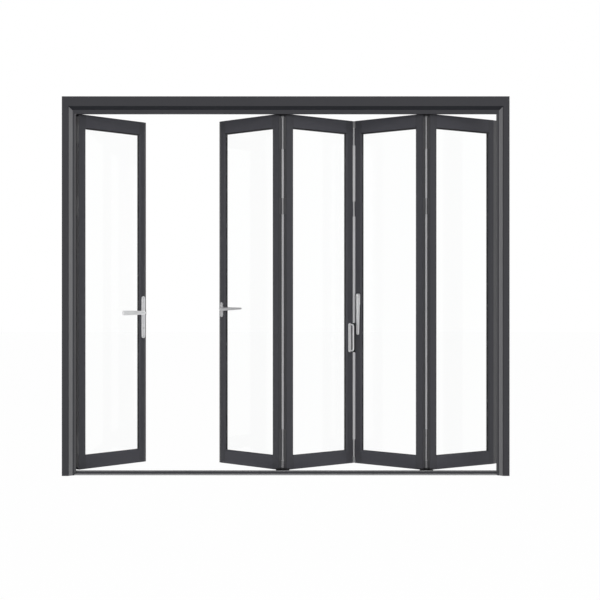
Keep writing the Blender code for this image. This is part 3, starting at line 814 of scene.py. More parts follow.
@dataclass(frozen=True)
class LeafPlace:
    """Where one leaf stands, and its sizes, read from its stiles, rails and pane."""

    number: int
    matrix: Matrix
    width: float
    thickness: float
    bottom: float
    top: float
    opening: tuple[float, float, float, float]
    pane_face: float

    @classmethod
    def read(cls, number: int) -> "LeafPlace":
        """Measure a leaf on its CAD nodes.

        Args:
            number: 1 for the swing leaf on the left, up to 5.

        Returns:
            The leaf's place.
        """
        pane = node_points(f"leaf{number}_glass")
        floor = span(pane, UP)[0]
        plan = sorted({(round(point.x, 6), round(point.y, 6)) for point in pane if point.z < floor + SAME})
        first = Vector(plan[0])
        others = sorted((Vector(corner) for corner in plan[1:]), key=lambda corner: (corner - first).length)
        along = (others[1] - first).normalized()
        across, outward = Vector((along.x, along.y, 0)), Vector((-along.y, along.x, 0))
        stiles = [node_points(f"leaf{number}_{side}_stile") for side in ("left", "right")]
        rails = [node_points(f"leaf{number}_{side}_rail") for side in ("bottom", "top")]
        (left, left_end), (right_start, right) = (span(stile, across) for stile in stiles)
        inner, outer = span(stiles[0], outward)
        bottom, top = span(stiles[0], UP)
        matrix = Matrix.Translation(across * left + outward * inner)
        matrix.col[0].xyz, matrix.col[1].xyz = across, outward
        opening = (left_end - left, right_start - left, span(rails[0], UP)[1], span(rails[1], UP)[0])
        return cls(number=number, matrix=matrix, width=right - left, thickness=outer - inner, bottom=bottom,
                   top=top, opening=opening, pane_face=span(pane, outward)[0] - inner)

    @property
    def body(self) -> Body:
        """The body that carries the leaf."""
        return Body.SWING if self.number == 1 else Body.FIXED

    def edge_x(self, side: Side) -> float:
        """Return the place of an upright edge face."""
        return 0.0 if side is Side.LEFT else self.width

    def box(self, node: str) -> tuple[Vector, Vector]:
        """Return a node's lowest and highest corner in leaf coordinates."""
        back = self.matrix.inverted()
        spans = [span((back @ point for point in node_points(node)), way) for way in (ACROSS, OUTWARD, UP)]
        return Vector([reach[0] for reach in spans]), Vector([reach[1] for reach in spans])

    def turned_round(self) -> Matrix:
        """Return the half turn about the leaf's upright middle line, which swaps its faces."""
        return half_turn((self.width / 2, self.thickness / 2, 0), "Z")


@dataclass(frozen=True)
class FramePlace:
    """Where the outer frame's faces lie, those of the jambs read on the right one."""

    front_y: float
    back_y: float
    bevel_outer_x: float
    bevel_inner_x: float
    bevel_back_y: float
    lip_x: float
    lip_back_y: float
    rebate_x: float
    head_front_z: float
    head_lip_z: float
    head_rebate_z: float
    head_top_z: float
    sill_front_y: float
    sill_top_z: float

    @classmethod
    def read(cls) -> "FramePlace":
        """Measure the outer frame on its CAD nodes."""
        jamb, head, sill = (node_points(f"frame_{bar}") for bar in ("right_jamb", "head", "sill"))
        front_y, back_y = span(jamb, OUTWARD)
        lip_x = span(jamb, ACROSS)[0]
        outer_x = min(point.x for point in jamb if point.y < front_y + SAME)
        lip_front_y, lip_back_y = span((point for point in jamb if point.x < lip_x + SAME), OUTWARD)
        head_lip_z, head_top_z = span(head, UP)
        return cls(front_y=front_y, back_y=back_y, bevel_outer_x=outer_x,
                   bevel_inner_x=outer_x - (lip_front_y - front_y), bevel_back_y=lip_front_y, lip_x=lip_x,
                   lip_back_y=lip_back_y, rebate_x=min(point.x for point in jamb if point.y > back_y - SAME),
                   head_front_z=min(point.z for point in head if point.y < front_y + SAME),
                   head_lip_z=head_lip_z, head_top_z=head_top_z,
                   head_rebate_z=min(point.z for point in head if point.y > back_y - SAME),
                   sill_front_y=span(sill, OUTWARD)[0], sill_top_z=span(sill, UP)[1])


# Bare CAD nodes


@dataclass(frozen=True)
class BareNodes:
    """The profiles, panes and running gear that keep their CAD shape and take a finish."""

    finishes: tuple[tuple[str, Finish], ...] = (
        # Leaves and rails take the copies of the paint that are lightened against their shade.
        ("glass", CLEAR_PANE), ("frame_", FRAME_COAT), ("_rail", RAIL_COAT_LIGHTENED_FOR_SHADE), ("leaf", LEAF_COAT_LIGHTENED_FOR_SHADE),
        ("track_carrier", BLACK_PLASTIC), ("sill_guide", BLACK_PLASTIC), ("", SATIN_SILVER))

    def dress(self) -> None:
        """Give each node the material of the first finish whose word its name holds."""
        for name, node in frame["nodes"].items():
            finish = next(finish for word, finish in self.finishes if word in name)
            node.data.materials.clear()
            node.data.materials.append(finish.material())
            LOG.info("%s: %s", name, finish.name)


# Leaves


@dataclass(frozen=True)
class GlazingGaskets:
    """Rubber wedge gaskets that hold each pane, one ring on either face, and a black line over each, painted
    as the shadow under the top rail.
    """

    leaves: Sequence[LeafPlace]
    lip: float = 0.0014
    height: float = 0.0040
    round_off: float = 0.0008
    line_height: float = 0.0046
    line_proud: float = 0.0003
    line_round_share: float = 0.8
    seat: float = 0.0001

    def ring(self, leaf: LeafPlace) -> bpy.types.Object:
        """Model the ring on the inner face of a pane, in leaf coordinates.

        Args:
            leaf: the leaf whose pane it holds.

        Returns:
            The ring.
        """
        left, right, low, high = leaf.opening
        seat, y = self.seat, leaf.pane_face - self.seat
        piece = Workpiece.sheet((left + seat, y, low + seat), (right - seat, y, high - seat), "Y")
        piece.inset(self.lip)
        bpy.ops.mesh.delete(type="FACE")
        piece.everything().extrude(y=-self.height)
        piece.pick("EDGE", lambda middle, _: middle.y < y - self.height * ALONG
                   and min(middle.x - left, right - middle.x, middle.z - low, high - middle.z) > self.lip)
        return piece.bevel(self.round_off, 3).done()

    def shadow_line(self, leaf: LeafPlace) -> bpy.types.Object:
        """Model the thin black line along the top rail's lower edge, painted as the shadow there, in leaf
        coordinates.

        Args:
            leaf: the leaf that it lies on.

        Returns:
            The line.
        """
        left, right, _, high = leaf.opening
        piece = Workpiece.block((left + self.seat, -self.line_proud, high),
                                (right - self.seat, self.line_proud, high + self.line_height))
        piece.pick("EDGE", lambda middle, line: middle.y < 0 and abs(line.y) < ALONG)
        return piece.bevel(self.line_proud * self.line_round_share, 2).done()

    def dress(self) -> None:
        """Put a ring on both faces of every pane, and a painted shadow line over each."""
        for leaf in self.leaves:
            # The black lines under the top rails are painted shadow.
            lines = [moved(self.shadow_line(leaf), leaf.matrix @ turn)
                     for turn in (Matrix.Identity(4), leaf.turned_round())]
            hand_over(combined(lines), f"leaf{leaf.number}_painted_shadow_lines", leaf.body, BLACK_RUBBER_AND_SHADOW)
        pattern = self.ring(self.leaves[0])
        for leaf in self.leaves:
            for label, turn in (("inner", Matrix.Identity(4)), ("outer", leaf.turned_round())):
                ring = copied(pattern, leaf.matrix @ turn)
                hand_over(ring, f"leaf{leaf.number}_{label}_gasket", leaf.body, GASKET_RUBBER)
        bpy.data.objects.remove(pattern)


@dataclass(frozen=True)
class EdgeStrips:
    """Grey seals in the recesses of the free edges, and insulating strips in all edges, painted lighter than
    the leaf coat against the shade on the edge faces.
    """

    leaves: Sequence[LeafPlace]
    recess_width: float = 0.013
    recess_depth: float = 0.003
    clearance: float = 0.0003
    seal_foot: float = 0.0004
    seal_end_gap: float = 0.0005
    rib_height: float = 0.0012
    rib_inset: float = 0.0035
    rib_round: float = 0.0008
    strip_width: float = 0.0240
    strip_proud: float = 0.0002
    strip_rim_share: float = 0.22
    strip_end_gap: float = 0.014
    fin_length: float = 0.0190
    fin_thickness: float = 0.0024
    fin_end_gap: float = 0.001
    fin_taper: float = 0.5
    fin_round_share: float = 0.2

    def seal(self, leaf: LeafPlace, side: Side) -> bpy.types.Object:
        """Model the ribbed seal of a free edge, in leaf coordinates.

        Args:
            leaf: the leaf that carries it.
            side: its edge.

        Returns:
            The seal.
        """
        low_x = 0.0 if side is Side.LEFT else leaf.width - self.recess_width
        piece = Workpiece.block(
            (low_x + self.clearance, self.seal_foot, leaf.bottom + self.seal_end_gap),
            (low_x + self.recess_width - self.clearance, self.recess_depth - self.clearance,
             leaf.top - self.seal_end_gap))
        piece.end_face(INWARD).inset(self.rib_inset).extrude(y=-self.rib_height)
        piece.pick("EDGE", lambda middle, line: abs(line.z) > ALONG and middle.y < self.recess_depth / 2)
        return piece.bevel(self.rib_round, 3).done()

    def strip(self, leaf: LeafPlace, side: Side) -> bpy.types.Object:
        """Model the insulating strip in an upright edge face, sunk between two narrow ribs.

        Args:
            leaf: the leaf that carries it.
            side: its edge.

        Returns:
            The strip.
        """
        middle, half = leaf.thickness / 2, self.strip_width / 2
        proud = self.strip_proud * side.value
        low_x, high_x = sorted((leaf.edge_x(side) - proud * 2, leaf.edge_x(side) + proud))
        piece = Workpiece.block((low_x, middle - half, leaf.bottom + self.strip_end_gap),
                                (high_x, middle + half, leaf.top - self.strip_end_gap))
        piece.end_face(ACROSS * side.value)
        return piece.inset(self.strip_width * self.strip_rim_share, -self.strip_proud / 2).done()

    def fin(self, leaf: LeafPlace) -> bpy.types.Object:
        """Model the soft fin that stands out from the last leaf's free edge, in leaf coordinates.

        Args:
            leaf: the last leaf.

        Returns:
            The fin.
        """
        root = leaf.width + self.clearance
        tip = root + self.fin_length
        piece = Workpiece.block((root, self.clearance, leaf.bottom + self.fin_end_gap),
                                (tip, self.clearance + self.fin_thickness, leaf.top - self.fin_end_gap))
        piece.end_face(ACROSS).resize(1, self.fin_taper, 1)
        piece.pick("EDGE", lambda middle, line: abs(line.z) > ALONG and middle.x > tip - SAME)
        return piece.bevel(self.fin_thickness * self.fin_round_share, 3).done()

    def dress(self) -> None:
        """Put strips in every upright edge, and seals where the edge is free."""
        free = {(1, Side.RIGHT), (2, Side.LEFT), (5, Side.RIGHT)}
        for side in Side:
            strip, seal = self.strip(self.leaves[0], side), self.seal(self.leaves[0], side)
            for leaf in self.leaves:
                name = f"leaf{leaf.number}_{side.name.lower()}_edge"
                # The edge strips are painted lighter against the shade on the edge faces, the swing leaf's
                # hinge edge most of all.
                finish = HINGE_SIDE_SEAL_LIGHTENED_FOR_SHADE if (leaf.number, side) == (1, Side.LEFT) else EDGE_STRIP_LIGHTENED_FOR_SHADE
                hand_over(copied(strip, leaf.matrix), f"{name}_strip", leaf.body, finish)
                if (leaf.number, side) in free:
                    hand_over(copied(seal, leaf.matrix), f"{name}_seal", leaf.body, GREY_SEAL)
            bpy.data.objects.remove(strip)
            bpy.data.objects.remove(seal)
        last = self.leaves[-1]
        hand_over(moved(self.fin(last), last.matrix), "leaf5_right_edge_fin", last.body, GREY_SEAL)


# Hinges


@dataclass(frozen=True)
class ScrewHead:
    """Low countersunk screw head with a hexagon socket."""

    radius: float = 0.0036
    sunk: float = 0.0008
    height: float = 0.0010
    taper: float = 0.86
    rim_share: float = 0.38
    socket_share: float = 0.8
    sides: int = 18

    def model(self, place: Place, axis: Place) -> bpy.types.Object:
        """Model one head.

        Args:
            place: its middle, on the face that it is sunk in.
            axis: where it looks.

        Returns:
            The head.
        """
        step = Vector(axis) * self.height
        seat = Vector(place) - Vector(axis) * self.sunk
        piece = Workpiece.disc(seat, axis, self.radius, self.sides)
        piece.extrude(*step).resize(self.taper, self.taper, self.taper)
        piece.inset(self.radius * self.rim_share)
        return piece.extrude(*(-step * self.socket_share)).done()


@dataclass(frozen=True)
class HingeWork:
    """Knuckle hinges with capped pins, screwed flaps and running gaps between the knuckles."""

    leaves: Sequence[LeafPlace]
    knuckle_radius: float = 0.0058
    knuckle_gap: float = 0.0008
    knuckle_round: float = 0.0006
    fold_knuckles: int = 5
    pin_radius: float = 0.0042
    pin_offset: float = 0.0065
    cap_height: float = 0.0022
    cap_profile: tuple[tuple[float, float], ...] = ((0.0, 1.18), (0.4, 1.0), (0.35, 0.82), (0.25, 0.45))
    flap_thickness: float = 0.0020
    flap_gap: float = 0.0003
    flap_reach: float = 0.025
    fold_flap_margin: float = 0.001
    swing_flap_margin: float = 0.0005
    corner_radius: float = 0.004
    long_flap: float = 0.15
    screw: ScrewHead = ScrewHead()
    screw_share: float = 0.42
    jamb_screw_inset: float = 0.011
    jamb_screw_shares: tuple[float, ...] = (0.25, 0.75)

    def knuckle(self, low: float, high: float) -> bpy.types.Object:
        """Model one knuckle about the origin with rounded rims."""
        piece = Workpiece.rod((0, 0, low), (0, 0, high), self.knuckle_radius)
        return piece.round_rim(self.knuckle_round, 2, UP, DOWN).done()

    def pin(self, low: float, high: float) -> bpy.types.Object:
        """Model the pin about the origin, with a domed cap at either end.

        Args:
            low: height of its lower end.
            high: height of its upper end.

        Returns:
            The pin.
        """
        piece = Workpiece.rod((0, 0, low), (0, 0, high), self.pin_radius, 24)
        for way in (DOWN, UP):
            piece.end_face(way)
            for rise, width in self.cap_profile:
                piece.extrude(z=way.z * rise * self.cap_height).resize(width, width, 1)
        return piece.done()

    def flap(self, leaf: LeafPlace, side: Side, inner: bool, low: float, high: float) -> bpy.types.Object:
        """Model a flap on a leaf's edge face, with its screws, in leaf coordinates.

        Args:
            leaf: the leaf that carries it.
            side: its edge.
            inner: whether the pin stands before the inner face.
            low: height of its lower end.
            high: height of its upper end.

        Returns:
            The flap.
        """
        near = leaf.edge_x(side) + side.value * self.flap_gap
        far = near + side.value * self.flap_thickness
        pin_y = -self.pin_offset if inner else leaf.thickness + self.pin_offset
        tip_y = pin_y + (self.flap_reach + self.pin_offset) * (1 if inner else -1)
        piece = Workpiece.block((min(near, far), min(pin_y, tip_y), low),
                                (max(near, far), max(pin_y, tip_y), high))
        piece.pick("EDGE", lambda middle, line: abs(line.x) > ALONG and abs(middle.y - tip_y) < SAME)
        parts = [piece.bevel(self.corner_radius, 4).done()]
        screw_y = tip_y + (pin_y - tip_y) * self.screw_share
        count = 3 if high - low > self.long_flap else 2
        for index in range(count):
            z = low + (high - low) * (index + 0.5) / count
            parts.append(self.screw.model((far, screw_y, z), ACROSS * side.value))
        return combined(parts)

    def barrel(self, low: float, high: float) -> bpy.types.Object:
        """Model the knuckles and the pin of a folded joint about the origin.

        Args:
            low: height of its lower end.
            high: height of its upper end.

        Returns:
            The barrel.
        """
        pitch = (high - low) / self.fold_knuckles
        parts = [self.pin(low, high)]
        for index in range(self.fold_knuckles):
            parts.append(self.knuckle(low + index * pitch + self.knuckle_gap / 2,
                                      low + (index + 1) * pitch - self.knuckle_gap / 2))
        return combined(parts)

    def fold_hinge(self, node: str, left: LeafPlace, right: LeafPlace, inner: bool) -> None:
        """Replace the hinge between two folded leaves.

        Args:
            node: the hinge's CAD node.
            left: the leaf on its left.
            right: the leaf on its right.
            inner: whether the pin stands before the inner faces.
        """
        low, high = span(node_points(node), UP)
        barrel = moved(self.barrel(low, high), Matrix.Translation((*barrel_axis(node), 0)))
        hand_over(barrel, f"{node}_knuckles", Body.FIXED, HINGE_PAINT, (node,))
        margin = self.fold_flap_margin
        flaps = [moved(self.flap(leaf, side, inner, low + margin, high - margin), leaf.matrix)
                 for leaf, side in ((left, Side.RIGHT), (right, Side.LEFT))]
        # The flaps take paint lightened against their shade in the joint.
        hand_over(combined(flaps), f"{node}_flaps", Body.FIXED, FLAP_PAINT_LIGHTENED_FOR_SHADE)

    def swing_hinge(self, number: int, leaf: LeafPlace) -> None:
        """Replace both halves of a hinge of the swing leaf.

        Args:
            number: the hinge's number, from 1 to 3.
            leaf: the swing leaf.
        """
        corner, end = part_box(f"jamb_hinge_{number}")
        low, high, margin = corner.z, end.z, self.swing_flap_margin
        pin = joint_place("swing_leaf_hinge")
        to_pin = Matrix.Translation((pin.x, pin.y, 0))
        third, gap = (high - low) / 3, self.knuckle_gap / 2
        face_x = corner.x + self.flap_thickness
        flap = Workpiece.block((corner.x, corner.y, low + margin), (face_x, pin.y, high - margin))
        flap.pick("EDGE", lambda middle, line: abs(line.x) > ALONG and abs(middle.y - corner.y) < SAME)
        parts = [flap.bevel(self.corner_radius, 4).done(), moved(self.pin(low, high), to_pin)]
        for start, stop in ((low, low + third - gap), (high - third + gap, high)):
            parts.append(moved(self.knuckle(start, stop), to_pin))
        for share in self.jamb_screw_shares:
            place = (face_x, corner.y + self.jamb_screw_inset, low + (high - low) * share)
            parts.append(self.screw.model(place, ACROSS))
        name = f"jamb_hinge_{number}"
        # Both halves of the swing hinge take paint lightened against their shade.
        hand_over(combined(parts), f"{name}_detailed", Body.FIXED, JAMB_HINGE_PAINT_LIGHTENED_FOR_SHADE, (name,))

        knuckle = moved(self.knuckle(low + third + gap, high - third - gap), to_pin)
        flap = moved(self.flap(leaf, Side.LEFT, False, low + margin, high - margin), leaf.matrix)
        name = f"swing_hinge_{number}"
        hand_over(combined([knuckle, flap]), f"{name}_detailed", Body.SWING, JAMB_HINGE_PAINT_LIGHTENED_FOR_SHADE, (name,))

    def dress(self) -> None:
        """Replace every hinge."""
        for number in (1, 2, 3):
            self.swing_hinge(number, self.leaves[0])
            for label, first, inner in (("a", 1, False), ("b", 2, True), ("c", 3, False)):
                left, right = self.leaves[first:first + 2]
                self.fold_hinge(f"fold_{label}_hinge_{number}", left, right, inner)


@dataclass(frozen=True)
class JointCords:
    """Soft cords that close the joints between the folded leaves, from hinge to hinge."""

    leaves: Sequence[LeafPlace]
    half_width: float = 0.0061
    inner_half_width: float = 0.0086
    inner_shift: float = 0.0012
    half_depth: float = 0.0030
    end_gap: float = 0.0015
    inset: float = 0.0010
    handle_room: float = 0.0020
    short_stretch: float = 0.08

    def cord(self, x: float, y: float, half_width: float, low: float, high: float) -> bpy.types.Object:
        """Model one stretch of cord with an oval section.

        Args:
            x: place of its middle line.
            y: place of its middle line.
            half_width: half its width.
            low: height of its lower end.
            high: height of its upper end.

        Returns:
            The stretch.
        """
        piece = Workpiece.rod((0, 0, low), (0, 0, high), half_width, 24)
        piece.everything().resize(1, self.half_depth / half_width, 1)
        return moved(piece.done(), Matrix.Translation((x, y, 0)))

    def dress(self) -> None:
        """Lay a cord in every joint, in stretches that stop at the hinges."""
        for label, leaf, way in zip("abc", self.leaves[1:], (-1, 1, -1)):
            x, y = barrel_axis(f"fold_{label}_hinge_1")
            y += way * self.inset
            half_width = self.half_width
            stops = [leaf.bottom, leaf.top]
            for number in (1, 2, 3):
                stops += [corner.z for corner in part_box(f"fold_{label}_hinge_{number}")]
            if label == "b":
                half_width = self.inner_half_width
                x += self.inner_shift
                # Behind the pull handle the cord is black, painted as the handle's shadow.
                low, high = (corner.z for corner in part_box("pull_handle"))
                grip = (low - self.handle_room, high + self.handle_room)
                hand_over(self.cord(x, y, half_width, *grip), "fold_b_painted_shadow_cord", Body.FIXED, BLACK_RUBBER_AND_SHADOW)
                stops += grip
            stops.sort()
            cords, ends = [], []
            for low, high in zip(stops[::2], stops[1::2]):
                kind = ends if high - low < self.short_stretch else cords
                kind.append(self.cord(x, y, half_width, low + self.end_gap, high - self.end_gap))
            hand_over(combined(cords), f"fold_{label}_joint_cord", Body.FIXED, CORD_SEAL)
            if ends:
                hand_over(combined(ends), f"fold_{label}_cord_ends", Body.FIXED, END_SEAL)


# Handles


@dataclass(frozen=True)
class Grip:
    """Shape of a lever's grip: its heights, its rise, and how much nearer to the leaf it runs."""

    root: float
    tip: float
    rise: float
    closer: float


@dataclass(frozen=True)
class LeverWork:
    """Oval lever handles: a collar, a neck that bends over, and a grip with a rounded tip."""

    leaves: Sequence[LeafPlace]
    inside: Grip = Grip(root=0.0245, tip=0.0330, rise=0.0, closer=0.007)
    outside: Grip = Grip(root=0.0235, tip=0.0290, rise=0.0, closer=0.007)
    lead: Grip = Grip(root=0.0250, tip=0.0120, rise=0.0050, closer=0.011)
    neck_radius: float = 0.0076
    neck_sunk: float = 0.001
    collar_radius: float = 0.0120
    collar_length: float = 0.005
    collar_round: float = 0.0016
    elbow_radius: float = 0.012
    elbow_steps: int = 9
    thickness: float = 0.0115
    sides: int = 40
    profile: tuple[tuple[float, float], ...] = (
        (0.10, 1.0), (0.30, 1.0), (0.55, 1.0), (0.80, 1.0), (0.94, 1.0), (0.968, 0.96), (0.984, 0.86),
        (0.994, 0.66), (1.0, 0.36))

    def lever(self, low: Vector, high: Vector, way: int, grip: Grip) -> bpy.types.Object:
        """Model a lever on a leaf's inner face, in leaf coordinates.

        Args:
            low: lowest corner of the CAD lever.
            high: its highest corner.
            way: -1 where the grip runs to -x, 1 where it runs to +x.
            grip: the grip's shape.

        Returns:
            The lever.
        """
        z = (low.z + high.z) / 2
        axis_x = high.x - self.collar_radius if way < 0 else low.x + self.collar_radius
        length = (axis_x - low.x if way < 0 else high.x - axis_x) - self.elbow_radius
        elbow_y = low.y + self.thickness / 2 + grip.closer + self.elbow_radius
        collar = Workpiece.rod((axis_x, high.y, z), (axis_x, high.y - self.collar_length, z),
                               self.collar_radius, 48).round_rim(self.collar_round, 4, INWARD).done()

        neck_y = high.y - self.neck_sunk
        piece = Workpiece.disc((axis_x, neck_y, z), INWARD, self.neck_radius, self.sides)
        piece.extrude(y=elbow_y - neck_y)
        centre = (axis_x + way * self.elbow_radius, elbow_y, z)
        tall = deep = self.neck_radius
        for index in range(self.elbow_steps):
            share = (index + 1) / self.elbow_steps
            next_tall = self.neck_radius + (grip.root / 2 - self.neck_radius) * share
            next_deep = self.neck_radius + (self.thickness / 2 - self.neck_radius) * share
            piece.extrude().rotate(way * 90 / self.elbow_steps, "Z", centre)
            piece.resize(next_deep / deep, next_deep / deep, next_tall / tall)
            tall, deep = next_tall, next_deep
        reached = 0.0
        for fraction, scale in self.profile:
            next_tall = (grip.root + (grip.tip - grip.root) * fraction) / 2 * scale
            next_deep = self.thickness / 2 * scale
            piece.extrude(x=way * length * (fraction - reached), z=grip.rise * (fraction - reached))
            piece.resize(1, next_deep / deep, next_tall / tall)
            tall, deep, reached = next_tall, next_deep, fraction
        return combined([piece.done(40.0), collar])

    def dress(self) -> None:
        """Make the levers of the swing leaf and of the lead leaf."""
        swing, lead = self.leaves[0], self.leaves[1]
        low, high = swing.box("swing_lever_inside")
        inside = self.lever(low, high, -1, self.inside)
        short_low = Vector((swing.box("swing_lever_outside")[0].x, low.y, low.z))
        outside = self.lever(short_low, high, -1, self.outside)
        over = half_turn((0, swing.thickness / 2, (low.z + high.z) / 2), "X")
        for obj, node, matrix in ((inside, "swing_lever_inside", swing.matrix),
                                  (outside, "swing_lever_outside", swing.matrix @ over)):
            hand_over(moved(obj, matrix), f"{node}_oval", Body.SWING_LEVERS, POLISHED_LEVER, (node,))
        lever = moved(self.lever(*lead.box("lead_lever"), 1, self.lead), lead.matrix)
        # The lead lever takes the darker copy of the satin silver, as painted shade.
        hand_over(lever, "lead_lever_oval", Body.LEAD_LEVER, SHADED_LEVER, ("lead_lever",))


@dataclass(frozen=True)
class PlateWork:
    """Handle plates with rounded front edges, their screws and the key cylinder."""

    leaves: Sequence[LeafPlace]
    edge: float = 0.0018
    screw: ScrewHead = ScrewHead(radius=0.0042)
    screw_margin: float = 0.015
    cylinder_drop: float = 0.102
    cylinder_radius: float = 0.0085
    cylinder_proud: float = 0.0025
    cylinder_sunk: float = 0.001
    cylinder_round: float = 0.0006
    tail_width: float = 0.0100
    tail_length: float = 0.0165
    tail_round_share: float = 0.98
    keyway: tuple[float, float, float] = (0.0012, 0.0015, 0.0084)

    def screws(self, low: Vector, high: Vector, front: int) -> bpy.types.Object:
        """Model the two screw heads of a plate.

        Args:
            low: the plate's lowest corner.
            high: its highest corner.
            front: -1 where it looks to -y, 1 where it looks to +y.

        Returns:
            The heads.
        """
        x, y = (low.x + high.x) / 2, low.y if front < 0 else high.y
        return combined([self.screw.model((x, y, z), OUTWARD * front)
                         for z in (low.z + self.screw_margin, high.z - self.screw_margin)])

    def cylinder(self, x: float, y: float, z: float) -> bpy.types.Object:
        """Model a profile cylinder with its keyway, proud of the inner plate.

        Args:
            x: place of its round part.
            y: face of the plate.
            z: height of its round part.

        Returns:
            The cylinder.
        """
        root, face, half = y + self.cylinder_sunk, y - self.cylinder_proud, self.tail_width / 2
        barrel = Workpiece.rod((x, root, z), (x, face, z), self.cylinder_radius, 40)
        round_part = barrel.round_rim(self.cylinder_round, 2, INWARD).done()
        tail = Workpiece.block((x - half, face, z - self.tail_length - half), (x + half, root, z))
        tail.pick("EDGE", lambda middle, line: abs(line.y) > ALONG and middle.z < z - SAME)
        body = combined([round_part, tail.bevel(half * self.tail_round_share, 6).done()])
        wide, deep, tall = self.keyway
        cutter = Workpiece.block((x - wide / 2, face - self.cylinder_sunk, z - tall / 2),
                                 (x + wide / 2, face + deep, z + tall / 2))
        return carved(body, [cutter.done()])

    def dress(self) -> None:
        """Replace the plates of leaves 1 and 2 and add their screws and cylinders."""
        swing, lead = self.leaves[0], self.leaves[1]
        for face, front in (("inside", -1), ("outside", 1)):
            node = f"swing_plate_{face}"
            low, high = swing.box(node)
            lever_low, lever_high = swing.box(f"swing_lever_{face}")
            x = (low.x + high.x) / 2
            cylinder = self.cylinder(x, swing.box("swing_plate_inside")[0].y,
                                     (lever_low.z + lever_high.z) / 2 - self.cylinder_drop)
            if front > 0:
                moved(cylinder, half_turn((x, swing.thickness / 2, 0), "Z"))
            plate = plate_in_box(low, high, front, self.edge)
            for obj, name, finish, replaced in (
                    (plate, f"{node}_rounded", SATIN_SILVER, (node,)),
                    (self.screws(low, high, front), f"{node}_screws", HINGE_STEEL, ()),
                    (cylinder, f"key_cylinder_{face}", DROP_SATIN, ())):
                hand_over(moved(obj, swing.matrix), name, Body.SWING, finish, replaced)
        low, high = lead.box("lead_plate")
        plate = moved(plate_in_box(low, high, -1, self.edge), lead.matrix)
        # The lead plate takes the darker copy of the satin silver, as painted shade.
        hand_over(plate, "lead_plate_rounded", Body.FIXED, SATIN_PLATE_PAINTED_SHADE, ("lead_plate",))
        screws = moved(self.screws(low, high, -1), lead.matrix)
        hand_over(screws, "lead_plate_screws", Body.FIXED, HINGE_STEEL)


@dataclass(frozen=True)
class PullWork:
    """D-shaped pull handle of leaf 3: a thin plate and a bar with two round bends."""

    leaves: Sequence[LeafPlace]
    bar_radius: float = 0.005
    bend_radius: float = 0.014
    bend_steps: int = 10
    bar_sunk: float = 0.001
    plate_thickness: float = 0.004
    edge: float = 0.0012
    collar_share: float = 1.5
    collar_length: float = 0.003
    collar_sunk: float = 0.0005
    collar_round: float = 0.001

    def bar(self, x: float, plate_y: float, bar_y: float, feet: tuple[float, float]) -> bpy.types.Object:
        """Model the bar from its lower foot to its upper one, in leaf coordinates.

        Args:
            x: place of its middle line.
            plate_y: the plate's front face.
            bar_y: middle line of its long stretch.
            feet: heights of its lower and upper foot.

        Returns:
            The bar.
        """
        foot_z, head_z = feet
        root_y, bend = plate_y + self.bar_sunk, self.bend_radius
        bend_y = bar_y + bend
        piece = Workpiece.disc((x, root_y, foot_z), INWARD, self.bar_radius, 28)
        piece.extrude(y=bend_y - root_y).spin(90, self.bend_steps, (x, bend_y, foot_z + bend), ACROSS)
        piece.extrude(z=head_z - foot_z - 2 * bend)
        piece.spin(90, self.bend_steps, (x, bend_y, head_z - bend), ACROSS)
        return piece.extrude(y=root_y - bend_y).done()

    def dress(self) -> None:
        """Replace the pull handle."""
        leaf = self.leaves[2]
        low, high = leaf.box("pull_handle")
        x, plate_y = (low.x + high.x) / 2, high.y - self.plate_thickness
        plate = plate_in_box(Vector((low.x, plate_y, low.z)), high, -1, self.edge)
        feet = (low.z + 2 * self.bar_radius, high.z - 2 * self.bar_radius)
        parts = [plate, self.bar(x, plate_y, low.y + self.bar_radius, feet)]
        for z in feet:
            collar = Workpiece.rod((x, plate_y + self.collar_sunk, z),
                                   (x, plate_y - self.collar_length, z), self.bar_radius * self.collar_share)
            parts.append(collar.round_rim(self.collar_round, 3, INWARD).done())
        handle = moved(combined(parts), leaf.matrix)
        hand_over(handle, "pull_handle_round", leaf.body, PULL_SATIN, ("pull_handle",))


